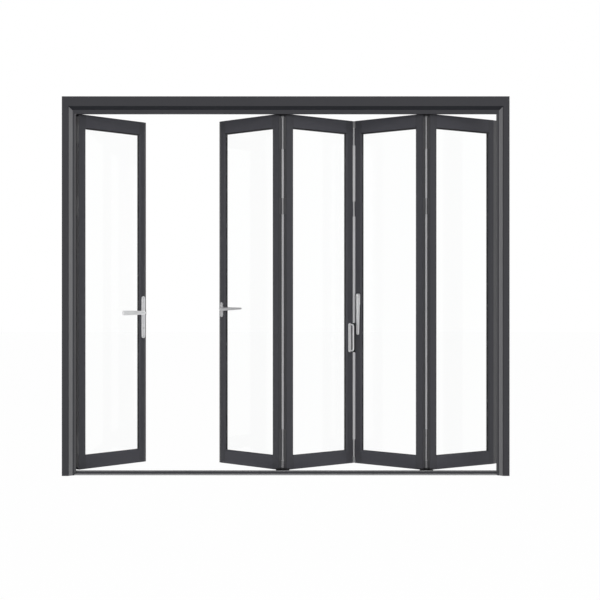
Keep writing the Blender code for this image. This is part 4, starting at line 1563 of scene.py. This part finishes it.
@dataclass(frozen=True)
class DropHandleWork:
    """Flat drop handle of leaf 4 on its oblong base, with a round pivot."""

    leaves: Sequence[LeafPlace]
    edge: float = 0.0014
    thickness: float = 0.008
    low_width_share: float = 0.61
    corner: float = 0.0036
    neck_radius: float = 0.0090
    cap_radius: float = 0.0075
    cap_height: float = 0.0012
    cap_sunk: float = 0.001
    cap_round: float = 0.0007
    widest: float = 0.95
    profile: tuple[tuple[float, float, float], ...] = (
        (0.0, 0.5, 0.8), (0.006, 0.72, 0.9), (0.016, 0.90, 0.97), (0.034, 1.0, 1.0), (0.35, 1.0, 1.0),
        (0.75, 1.0, 1.0), (0.93, 1.0, 1.0), (0.955, 0.96, 1.0), (0.975, 0.86, 0.97), (0.99, 0.68, 0.92),
        (1.0, 0.46, 0.8))

    def blade(self, low: Vector, high: Vector, y: float) -> bpy.types.Object:
        """Model the flat blade from its lower end up, wider towards the pivot.

        Args:
            low: lowest corner of the CAD handle, in leaf coordinates.
            high: its highest corner.
            y: the blade's middle plane.

        Returns:
            The blade.
        """
        x, length, top_width = (low.x + high.x) / 2, high.z - low.z, high.x - low.x
        low_width = top_width * self.low_width_share
        stations = []
        for fraction, across, deep in self.profile:
            width = low_width + (top_width - low_width) * min(fraction, self.widest) / self.widest
            stations.append((fraction * length, width * across, self.thickness * deep))
        _, wide, deep = stations[0]
        piece = Workpiece.sheet((x - wide / 2, y - deep / 2, low.z),
                                (x + wide / 2, y + deep / 2, low.z), "Z")
        piece.pick("VERT", lambda _, __: True).bevel(self.corner, 5, corners=True)
        bpy.ops.mesh.select_mode(type="FACE")
        piece.everything()
        for (start, wide, deep), (end, next_wide, next_deep) in zip(stations, stations[1:]):
            piece.extrude(z=end - start).resize(next_wide / wide, next_deep / deep, 1)
        return piece.done(38.0)

    def dress(self) -> None:
        """Replace the base and the handle."""
        leaf = self.leaves[3]
        base = moved(plate_in_box(*leaf.box("drop_base"), -1, self.edge), leaf.matrix)
        # The drop handle's base takes the darker copy of the satin silver, as painted shade.
        hand_over(base, "drop_base_rounded", leaf.body, SATIN_PLATE_PAINTED_SHADE, ("drop_base",))

        low, high = leaf.box("drop_lever")
        x, y, pivot_z = (low.x + high.x) / 2, low.y + self.thickness / 2, joint_place("drop_lever_turn").z
        neck = Workpiece.rod((x, high.y, pivot_z), (x, y, pivot_z), self.neck_radius).done()
        cap = Workpiece.rod((x, low.y + self.cap_sunk, pivot_z), (x, low.y - self.cap_height, pivot_z),
                            self.cap_radius).round_rim(self.cap_round, 3, INWARD).done()
        whole = moved(combined([self.blade(low, high, y), neck, cap]), leaf.matrix)
        hand_over(whole, "drop_lever_flat", Body.DROP_LEVER, DROP_SATIN, ("drop_lever",))


# Lock and keep


@dataclass(frozen=True)
class LockWork:
    """Lock faceplate with latch and bolt in the swing leaf's edge, and the keep in the lead leaf's."""

    leaves: Sequence[LeafPlace]
    plate_width: float = 0.020
    plate_thickness: float = 0.0022
    plate_round: float = 0.0006
    lock_length: float = 0.300
    lock_drop: float = 0.030
    lock_screws: tuple[float, float] = (0.108, -0.168)
    keep_length: float = 0.220
    keep_drop: float = 0.035
    keep_screws: tuple[float, float] = (0.055, -0.125)
    latch_size: tuple[float, float, float] = (0.0105, 0.0130, 0.0340)
    latch_round_share: float = 0.8
    bolt_size: tuple[float, float, float] = (0.0035, 0.0130, 0.0300)
    bolt_round: float = 0.0008
    bolt_drop: float = 0.085
    pocket_width: float = 0.015
    pocket_room: float = 0.006
    pocket_floor_share: float = 0.1
    screw: ScrewHead = ScrewHead()

    def faceplate(self, x: float, y: float, z: float, way: int, length: float) -> bpy.types.Object:
        """Model a plate with round ends on an upright edge face.

        Args:
            x: the edge face.
            y: its middle.
            z: height of the plate's middle.
            way: -1 where it looks to -x, 1 where it looks to +x.
            length: its height.

        Returns:
            The plate.
        """
        return round_ended_plate((x, y, z), (x + way * self.plate_thickness, y, z),
                                 self.plate_width, length, self.plate_round, sides=48, segments=2)

    def tongue(self, x: float, y: float, z: float, size: tuple[float, float, float]) -> Workpiece:
        """Start a block that stands out from the lock's edge face.

        Args:
            x: the edge face.
            y: its middle.
            z: height of the tongue's middle.
            size: its reach, width and height.

        Returns:
            The workpiece.
        """
        reach, deep, tall = size
        return Workpiece.block((x, y - deep / 2, z - tall / 2), (x + reach, y + deep / 2, z + tall / 2))

    def lock(self, leaf: LeafPlace, z: float) -> bpy.types.Object:
        """Model the faceplate, the latch, the bolt and the screws, in leaf coordinates.

        Args:
            leaf: the swing leaf.
            z: height of the levers' axis.

        Returns:
            The lock.
        """
        x, y = leaf.width, leaf.thickness / 2
        parts = [self.faceplate(x, y, z - self.lock_drop, 1, self.lock_length)]
        reach = self.latch_size[0]
        latch = self.tongue(x, y, z, self.latch_size)
        latch.pick("EDGE", lambda middle, line: abs(line.z) > ALONG and middle.x > x + reach * ALONG
                   and middle.y > y)
        parts.append(latch.bevel(reach * self.latch_round_share, 5).done())
        bolt = self.tongue(x, y, z - self.bolt_drop, self.bolt_size)
        bolt.pick("EDGE", lambda middle, _: middle.x > x + self.bolt_size[0] * ALONG)
        parts.append(bolt.bevel(self.bolt_round, 2).done())
        parts += [self.screw.model((x + self.plate_thickness, y, z + offset), ACROSS)
                  for offset in self.lock_screws]
        return combined(parts)

    def keep(self, leaf: LeafPlace, z: float) -> bpy.types.Object:
        """Model the plate that takes the latch and the bolt in its pockets, in leaf coordinates.

        Args:
            leaf: the lead leaf.
            z: height of the levers' axis.

        Returns:
            The keep.
        """
        y, thickness, half = leaf.thickness / 2, self.plate_thickness, self.pocket_width / 2
        plate = self.faceplate(0.0, y, z - self.keep_drop, -1, self.keep_length)
        cutters = []
        for middle, size in ((z, self.latch_size), (z - self.bolt_drop, self.bolt_size)):
            tall = (size[2] + self.pocket_room) / 2
            floor_x = -thickness * self.pocket_floor_share
            cutters.append(Workpiece.block((-thickness * 2, y - half, middle - tall),
                                           (floor_x, y + half, middle + tall)).done())
        plate = carved(plate, cutters)
        return combined([plate] + [self.screw.model((-thickness, y, z + offset), -ACROSS)
                                   for offset in self.keep_screws])

    def dress(self) -> None:
        """Fit the lock and its keep."""
        swing, lead = self.leaves[0], self.leaves[1]
        low, high = swing.box("swing_lever_inside")
        z = (low.z + high.z) / 2
        hand_over(moved(self.lock(swing, z), swing.matrix), "lock_faceplate", Body.SWING, SATIN_SILVER)
        hand_over(moved(self.keep(lead, z), lead.matrix), "lock_keep", Body.FIXED, SATIN_SILVER)


# Outer frame


@dataclass(frozen=True)
class FrameTrim:
    """Light strips in the jambs' bevels painted as the highlight that the bevels catch, a dark strip in the
    head's bevel painted as its shade, seals on the lips, and screw caps.
    """

    place: FramePlace
    highlight_start: float = 0.0064
    highlight_lap: float = 0.0026
    highlight_thickness: float = 0.0012
    trim_seat: float = 0.0002
    highlight_round_share: float = 0.6
    highlight_front_share: float = 0.7
    head_strip_margin: float = 0.0014
    head_strip_thickness: float = 0.0009
    lip_width: float = 0.0130
    left_seal_reach: float = 0.0118
    right_seal_reach: float = 0.0073
    lip_seal_front: float = -0.0276
    lip_seal_back: float = -0.0180
    lip_seal_round: float = 0.0028
    tread_drop: float = 0.012
    bulb_radius: float = 0.0026
    bulb_foot: float = 0.0185
    cap_radius: float = 0.0060
    cap_height: float = 0.0012
    cap_profile: tuple[tuple[float, float], ...] = ((0.6, 1.0), (0.28, 0.8), (0.12, 0.5))
    cap_inset: float = 0.013
    jamb_cap_places: tuple[float, ...] = (0.35, 0.85, 1.35, 1.90)
    head_cap_places: tuple[float, ...] = (-1.20, -0.60, 0.30, 0.60, 1.20)

    def jamb_painted_highlight(self, side: Side) -> bpy.types.Object:
        """Model the light strip that lies in a jamb's bevel and laps on to its lip, mitred at the head. It
        is painted as the bevel's highlight.

        Args:
            side: the jamb.

        Returns:
            The strip.
        """
        place = self.place
        slope = Vector((place.bevel_outer_x - place.bevel_inner_x, place.front_y - place.bevel_back_y, 0))
        piece = Workpiece.block((self.highlight_start - slope.length, self.trim_seat, 0.0),
                                (0.0, self.highlight_thickness, place.head_top_z))
        angle = math.atan2(-slope.y, -slope.x)
        lap = Matrix.Rotation(-angle, 3, "Z") @ Vector((-self.highlight_lap, 0, 0))
        piece.end_face(ACROSS).extrude(x=lap.x, y=lap.y)
        lowest = max(lap.y / 2 + self.trim_seat + SAME, self.highlight_thickness * self.highlight_front_share)
        piece.pick("EDGE", lambda middle, line: abs(line.z) > ALONG and middle.y > lowest)
        piece.bevel(self.highlight_thickness * self.highlight_round_share, 3)
        corner = (place.bevel_inner_x, place.bevel_back_y, 0)
        moved(piece.done(), Matrix.Translation(corner) @ Matrix.Rotation(angle, 4, "Z"))
        mitre = (place.bevel_outer_x, place.front_y, place.head_front_z)
        highlight_strip = piece.resume().slice(mitre, (-1, 0, 1)).done()
        if side is Side.LEFT:
            moved(highlight_strip, Matrix.Diagonal((-1, 1, 1, 1)))
            highlight_strip.data.flip_normals()
        return highlight_strip

    def head_strip(self) -> bpy.types.Object:
        """Model the dark strip that lies in the head's bevel, mitred at both ends. It is painted as the
        shade of the bevel that faces down.

        Returns:
            The strip.
        """
        place, outer_x = self.place, self.place.bevel_outer_x
        slope = Vector((0, place.bevel_back_y - place.front_y, place.bevel_inner_x - outer_x))
        piece = Workpiece.block((-outer_x, self.head_strip_margin, self.trim_seat),
                                (outer_x, slope.length - self.head_strip_margin, self.head_strip_thickness))
        lean = Matrix.Rotation(math.atan2(slope.z, slope.y), 4, "X") @ Matrix.Diagonal((1, 1, -1, 1))
        moved(piece.done(), Matrix.Translation((0, place.front_y, place.head_front_z)) @ lean)
        for way in (-1, 1):
            corner = (way * (outer_x - 2 * self.head_strip_thickness), place.front_y, place.head_front_z)
            piece.resume().slice(corner, (way, 0, -1)).done()
        return piece.obj

    def lip_seal(self, side: Side) -> bpy.types.Object:
        """Model the seal clipped on a jamb's lip, which reaches towards the leaves.

        Args:
            side: the jamb.

        Returns:
            The seal.
        """
        lip_x = self.place.bevel_inner_x - self.lip_width
        root = side.value * (lip_x - self.trim_seat)
        tip = side.value * (lip_x - (self.left_seal_reach if side is Side.LEFT else self.right_seal_reach))
        tread_z = self.place.sill_top_z - self.tread_drop
        piece = Workpiece.block((min(root, tip), self.lip_seal_front, tread_z),
                                (max(root, tip), self.lip_seal_back, self.place.head_lip_z))
        piece.pick("EDGE", lambda middle, line: abs(line.z) > ALONG and abs(middle.x - tip) < SAME)
        return piece.bevel(self.lip_seal_round, 4).done()

    def bulb_seal(self) -> bpy.types.Object:
        """Model the round seal behind the lips of both jambs and of the head.

        Returns:
            The seal.
        """
        place = self.place
        x, z = (place.rebate_x + place.lip_x) / 2, (place.head_rebate_z + place.head_lip_z) / 2
        y = place.lip_back_y + self.bulb_radius + SAME
        runs = [((side.value * x, y, self.bulb_foot), (side.value * x, y, z)) for side in Side]
        runs.append(((-x, y, z), (x, y, z)))
        return combined([Workpiece.rod(*run, self.bulb_radius, 16).done() for run in runs])

    def cap(self, place: Place, axis: Place) -> bpy.types.Object:
        """Model a low domed cap over a fixing screw.

        Args:
            place: its middle, on the face that it covers.
            axis: where it looks.

        Returns:
            The cap.
        """
        piece = Workpiece.disc(place, axis, self.cap_radius, 24)
        for rise, width in self.cap_profile:
            piece.extrude(*(Vector(axis) * self.cap_height * rise)).resize(width, width, width)
        return piece.done()

    def caps(self) -> bpy.types.Object:
        """Model all screw caps of the jambs and of the head.

        Returns:
            The caps.
        """
        y = self.place.back_y - self.cap_inset
        caps = [self.cap((side.value * self.place.rebate_x, y, z), ACROSS * -side.value)
                for side in Side for z in self.jamb_cap_places]
        caps += [self.cap((x, y, self.place.head_rebate_z), DOWN) for x in self.head_cap_places]
        return combined(caps)

    def dress(self) -> None:
        """Fit the painted highlight strips, the painted shade strip, the seals and the caps."""
        for side in Side:
            word = side.name.lower()
            # The strip in the jamb's bevel is a painted highlight.
            hand_over(self.jamb_painted_highlight(side), f"{word}_jamb_painted_highlight", Body.FIXED, JAMB_HIGHLIGHT_COAT)
            hand_over(self.lip_seal(side), f"{word}_jamb_lip_seal", Body.FIXED, LIP_SEAL)
        # The strip in the head's bevel is painted shade.
        hand_over(self.head_strip(), "head_bevel_painted_shade", Body.FIXED, HEAD_BEVEL_SHADE_COAT)
        hand_over(self.bulb_seal(), "frame_bulb_seal", Body.FIXED, BLACK_RUBBER_AND_SHADOW)
        hand_over(self.caps(), "frame_screw_caps", Body.FIXED, BLACK_PLASTIC)


@dataclass(frozen=True)
class SillTrim:
    """Pale nosing before the sill, a pale strip along its top edge painted as the highlight there, and the
    ribs of its tread.
    """

    place: FramePlace
    end_gap: float = 0.0006
    seat: float = 0.0002
    nosing_height: float = 0.0095
    nosing_depth: float = 0.0040
    nosing_round: float = 0.0026
    strip_height: float = 0.0052
    strip_depth: float = 0.0022
    strip_round: float = 0.0010
    tread_drop: float = 0.012
    rib_count: int = 5
    rib_pitch: float = 0.0042
    rib_margin: float = 0.0105
    rib_end_gap: float = 0.004
    rib_half_width: float = 0.0008
    rib_height: float = 0.0008
    rib_round: float = 0.0005

    def bar(self, depth: float, low: float, high: float) -> Workpiece:
        """Start a bar along the sill's front face, between the lips.

        Args:
            depth: how far it stands out.
            low: its lower edge.
            high: its upper edge.

        Returns:
            The workpiece.
        """
        end_x = self.place.lip_x - self.end_gap
        return Workpiece.block((-end_x, self.place.sill_front_y - depth, low),
                               (end_x, self.place.sill_front_y - self.seat, high))

    def ribs(self) -> bpy.types.Object:
        """Model the ribs along the back of the tread.

        Returns:
            The ribs.
        """
        end_x, half = self.place.rebate_x - self.rib_end_gap, self.rib_half_width
        tread_z = self.place.sill_top_z - self.tread_drop
        ribs = []
        for index in range(self.rib_count):
            y = self.place.back_y - self.rib_margin - index * self.rib_pitch
            rib = Workpiece.block((-end_x, y - half, tread_z - SAME),
                                  (end_x, y + half, tread_z + self.rib_height))
            rib.pick("EDGE", lambda middle, line: abs(line.x) > ALONG and middle.z > tread_z)
            ribs.append(rib.bevel(self.rib_round, 2).done())
        return combined(ribs)

    def dress(self) -> None:
        """Fit the nosing, the painted highlight strip and the ribs."""
        front_y, top = self.place.sill_front_y, self.place.sill_top_z
        nosing = self.bar(self.nosing_depth, 0.0, self.nosing_height)
        nosing.pick("EDGE", lambda middle, line: abs(line.x) > ALONG
                    and middle.z > self.nosing_height * ALONG
                    and middle.y < front_y - self.nosing_depth * ALONG)
        hand_over(nosing.bevel(self.nosing_round, 4).done(), "sill_nosing", Body.FIXED, PALE_NOSING_AND_HIGHLIGHT_COAT)
        # The strip along the sill's top edge is a painted highlight of that edge.
        strip = self.bar(self.strip_depth, top - self.strip_height, top - self.end_gap)
        strip.pick("EDGE", lambda middle, line: abs(line.x) > ALONG
                   and middle.y < front_y - self.strip_depth * ALONG)
        hand_over(strip.bevel(self.strip_round, 3).done(), "sill_edge_painted_highlight", Body.FIXED, PALE_NOSING_AND_HIGHLIGHT_COAT)
        hand_over(self.ribs(), "sill_tread_ribs", Body.FIXED, FRAME_COAT)


@dataclass(frozen=True)
class TrackBrush:
    """Brush pile along both lips of the head's slot, broken where a carrier's stem passes."""

    place: FramePlace
    pitch: float = 0.0030
    tuft_width: float = 0.0022
    tuft_height: float = 0.0034
    reach: float = 0.0062
    root_share: float = 0.4
    tip_width: float = 0.55
    tip_height: float = 0.45
    stem_room: float = 0.008
    end_room: float = 0.002
    lift: float = 0.004
    slot_from_y: float = -0.005

    def tuft(self, x: float, y: float, z: float, way: int) -> bpy.types.Object:
        """Model one tuft that tapers from the lip towards the slot's middle.

        Args:
            x: its middle.
            y: its root on the lip.
            z: its height.
            way: 1 where it points to +y, -1 where it points to -y.

        Returns:
            The tuft.
        """
        half, tall = self.tuft_width / 2, self.tuft_height / 2
        neck = y + way * self.reach * self.root_share
        piece = Workpiece.block((x - half, min(y, neck), z - tall),
                                (x + half, max(y, neck), z + tall))
        piece.end_face(OUTWARD * way).extrude(y=way * self.reach * (1 - self.root_share))
        return piece.resize(self.tip_width, 1, self.tip_height).done(80.0)

    def dress(self) -> None:
        """Fit the pile on both sides of the slot, in rows between the stems."""
        under_z = self.place.head_rebate_z
        under = [point for point in node_points("frame_head") if abs(point.z - under_z) < SAME]
        lips = sorted(point.y for point in under if self.slot_from_y < point.y < self.place.back_y - SAME)
        end_x = span(under, ACROSS)[1] - self.end_room
        stops = [-end_x, end_x]
        for label in ("a", "c"):
            low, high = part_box(f"track_carrier_{label}")
            stem = (low.x + high.x) / 2
            stops += [stem - self.stem_room, stem + self.stem_room]
        stops.sort()
        rows = []
        for start, end in zip(stops[::2], stops[1::2]):
            for y, way in ((lips[0], 1), (lips[-1], -1)):
                tuft = self.tuft(start + self.pitch / 2, y, under_z + self.lift, way)
                rows.append(applied(tuft, "ARRAY", use_relative_offset=False, use_constant_offset=True,
                                    constant_offset_displace=(self.pitch, 0, 0),
                                    count=max(1, int((end - start) / self.pitch))))
        hand_over(combined(rows), "track_brush_pile", Body.FIXED, BRUSH_PILE)


# Studio


@dataclass(frozen=True)
class Studio:
    """Camera at the photograph's place, white surroundings, a soft lamp and a pale floor."""

    camera_place: tuple[float, float, float] = (0.3138, -7.694, 1.142)
    focal_length: float = 72.57
    shift: tuple[float, float] = (-0.0589, -0.0078)
    white: tuple[float, float, float, float] = (1.0, 1.0, 1.0, 1.0)
    sky_strength: float = 0.36
    reflected_left: float = 0.34
    left_from: tuple[float, float] = (-0.9, 0.3)
    reflected_height: float = 0.80
    height_from: tuple[float, float] = (0.15, 0.75)
    key_watts: float = 1350.0
    key_size: tuple[float, float] = (30.0, 5.0)
    key_place: tuple[float, float, float] = (0.3, -9.5, 1.9)
    key_target: tuple[float, float, float] = (0.0, 0.2, 1.1)
    floor_size: float = 60.0
    floor_drop: float = 0.0005
    floor_bounce: float = 0.45
    floor_tone: float = 0.95
    floor_roughness: float = 0.9
    floor_lift: float = 0.985

    def camera(self) -> None:
        """Place the camera."""
        data = bpy.data.cameras.new("camera")
        data.lens = self.focal_length
        data.shift_x, data.shift_y = self.shift
        data.dof.use_dof = False
        camera = bpy.data.objects.new("camera", data)
        camera.location = self.camera_place
        camera.rotation_euler = (math.radians(90), 0, 0)
        bpy.context.scene.collection.objects.link(camera)
        bpy.context.scene.camera = camera

    def seen_directly(self, bench: NodeBench) -> bpy.types.NodeSocket:
        """Return 1 for camera, glossy and transmission rays, and 0 for the rest."""
        path = bench.add("ShaderNodeLightPath").outputs
        seen = bench.maths("MAXIMUM", path["Is Camera Ray"], path["Is Glossy Ray"])
        return bench.maths("MAXIMUM", seen, path["Is Transmission Ray"])

    def mirrored(self, bench: NodeBench) -> bpy.types.NodeSocket:
        """Return 1 for reflected glossy rays, and 0 for the rest."""
        path = bench.add("ShaderNodeLightPath").outputs
        reflected = bench.maths("SUBTRACT", 1.0, path["Is Transmission Ray"])
        return bench.maths("MULTIPLY", path["Is Glossy Ray"], reflected)

    def fade(self, bench: NodeBench, value: bpy.types.NodeSocket, between: tuple[float, float],
             first: float, last: float) -> bpy.types.NodeSocket:
        """Change from one strength to another as a value grows.

        Args:
            bench: the tree's bench.
            value: the value.
            between: where the change starts and ends.
            first: strength up to its start.
            last: strength from its end on.

        Returns:
            The strength.
        """
        return bench.feed(bench.add("ShaderNodeMapRange"), Value=value, From_Min=between[0],
                          From_Max=between[1], To_Min=first, To_Max=last).outputs[0]

    def mixed(self, bench: NodeBench, amount: bpy.types.NodeSocket, first: bpy.types.Node,
              second: bpy.types.Node) -> bpy.types.Node:
        """Add a mix of two shaders.

        Args:
            bench: the tree's bench.
            amount: how much of the second one.
            first: the shader at 0.
            second: the shader at 1.

        Returns:
            The mix.
        """
        mix = bench.add("ShaderNodeMixShader")
        for socket, value in zip(mix.inputs, (amount, first.outputs[0], second.outputs[0])):
            bench.give(socket, value)
        return mix

    def world(self) -> None:
        """Make the surroundings white where seen, and dimmer in reflections of the left and of above."""
        world = bpy.data.worlds.new("studio")
        world.use_nodes = True
        bpy.context.scene.world = world
        bench = NodeBench(world.node_tree)
        nodes = world.node_tree.nodes
        light = bench.feed(nodes["Background"], Color=self.white, Strength=self.sky_strength)
        towards = bench.feed(bench.add("ShaderNodeSeparateXYZ"),
                             Vector=bench.add("ShaderNodeTexCoord").outputs["Generated"]).outputs
        across = self.fade(bench, towards["X"], self.left_from, self.reflected_left, 1.0)
        upward = self.fade(bench, towards["Z"], self.height_from, 1.0, self.reflected_height)
        seen = bench.feed(bench.add("ShaderNodeBackground"), Color=self.white, Strength=1.0)
        reflected = bench.feed(bench.add("ShaderNodeBackground"), Color=self.white,
                               Strength=bench.maths("MULTIPLY", across, upward))
        direct = self.mixed(bench, self.seen_directly(bench), light, seen)
        whole = self.mixed(bench, self.mirrored(bench), direct, reflected)
        bench.feed(nodes["World Output"], Surface=whole.outputs[0])

    def lamp(self) -> None:
        """Hang the soft key lamp and aim it at the door."""
        data = bpy.data.lights.new("key", "AREA")
        data.energy = self.key_watts
        data.shape = "RECTANGLE"
        data.size, data.size_y = self.key_size
        lamp = bpy.data.objects.new("key", data)
        lamp.location = self.key_place
        lamp.visible_glossy = False
        direction = Vector(self.key_target) - lamp.location
        lamp.rotation_euler = direction.to_track_quat("-Z", "Y").to_euler()
        bpy.context.scene.collection.objects.link(lamp)

    def floor(self) -> None:
        """Lay the pale floor, which shows white with the door's soft shadow."""
        deselect_all()
        bpy.ops.mesh.primitive_plane_add(size=self.floor_size, location=(0, 0, -self.floor_drop))
        floor = bpy.context.object
        floor.name = "studio_floor"
        bpy.ops.object.transform_apply(location=True, rotation=True, scale=True)
        made = bpy.data.materials.new("pale_floor")
        made.use_nodes = True
        bench = NodeBench(made.node_tree)
        nodes = made.node_tree.nodes
        seen = self.seen_directly(bench)
        tone = bench.mix_colour(seen, rgba((1, 1, 1), self.floor_bounce), rgba((1, 1, 1), self.floor_tone))
        matt = bench.feed(nodes["Principled BSDF"], Base_Color=tone, Roughness=self.floor_roughness,
                          Specular_IOR_Level=0.0)
        glow = bench.feed(bench.add("ShaderNodeEmission"), Color=self.white, Strength=1.0)
        whole = self.mixed(bench, bench.maths("MULTIPLY", seen, self.floor_lift), matt, glow)
        bench.feed(nodes["Material Output"], Surface=whole.outputs[0])
        floor.data.materials.append(made)

    def set_up(self) -> None:
        """Set up the whole studio."""
        bpy.context.scene.view_settings.view_transform = "Standard"
        self.camera()
        self.world()
        self.lamp()
        self.floor()


def write_sizes() -> None:
    """Bring the view layer up to date."""
    bpy.context.view_layer.update()


def main() -> None:
    """Dress the door and set up the studio."""
    logging.basicConfig(level=logging.INFO, format="%(message)s")
    deselect_all()
    leaves = [LeafPlace.read(number) for number in range(1, 6)]
    outer_frame = FramePlace.read()
    Studio().set_up()
    BareNodes().dress()
    for work in (GlazingGaskets, EdgeStrips, HingeWork, JointCords, LeverWork, PlateWork, PullWork,
                 DropHandleWork, LockWork):
        work(leaves).dress()
    for work in (FrameTrim, SillTrim, TrackBrush):
        work(outer_frame).dress()
    write_sizes()


if __name__ == "__main__":
    main()
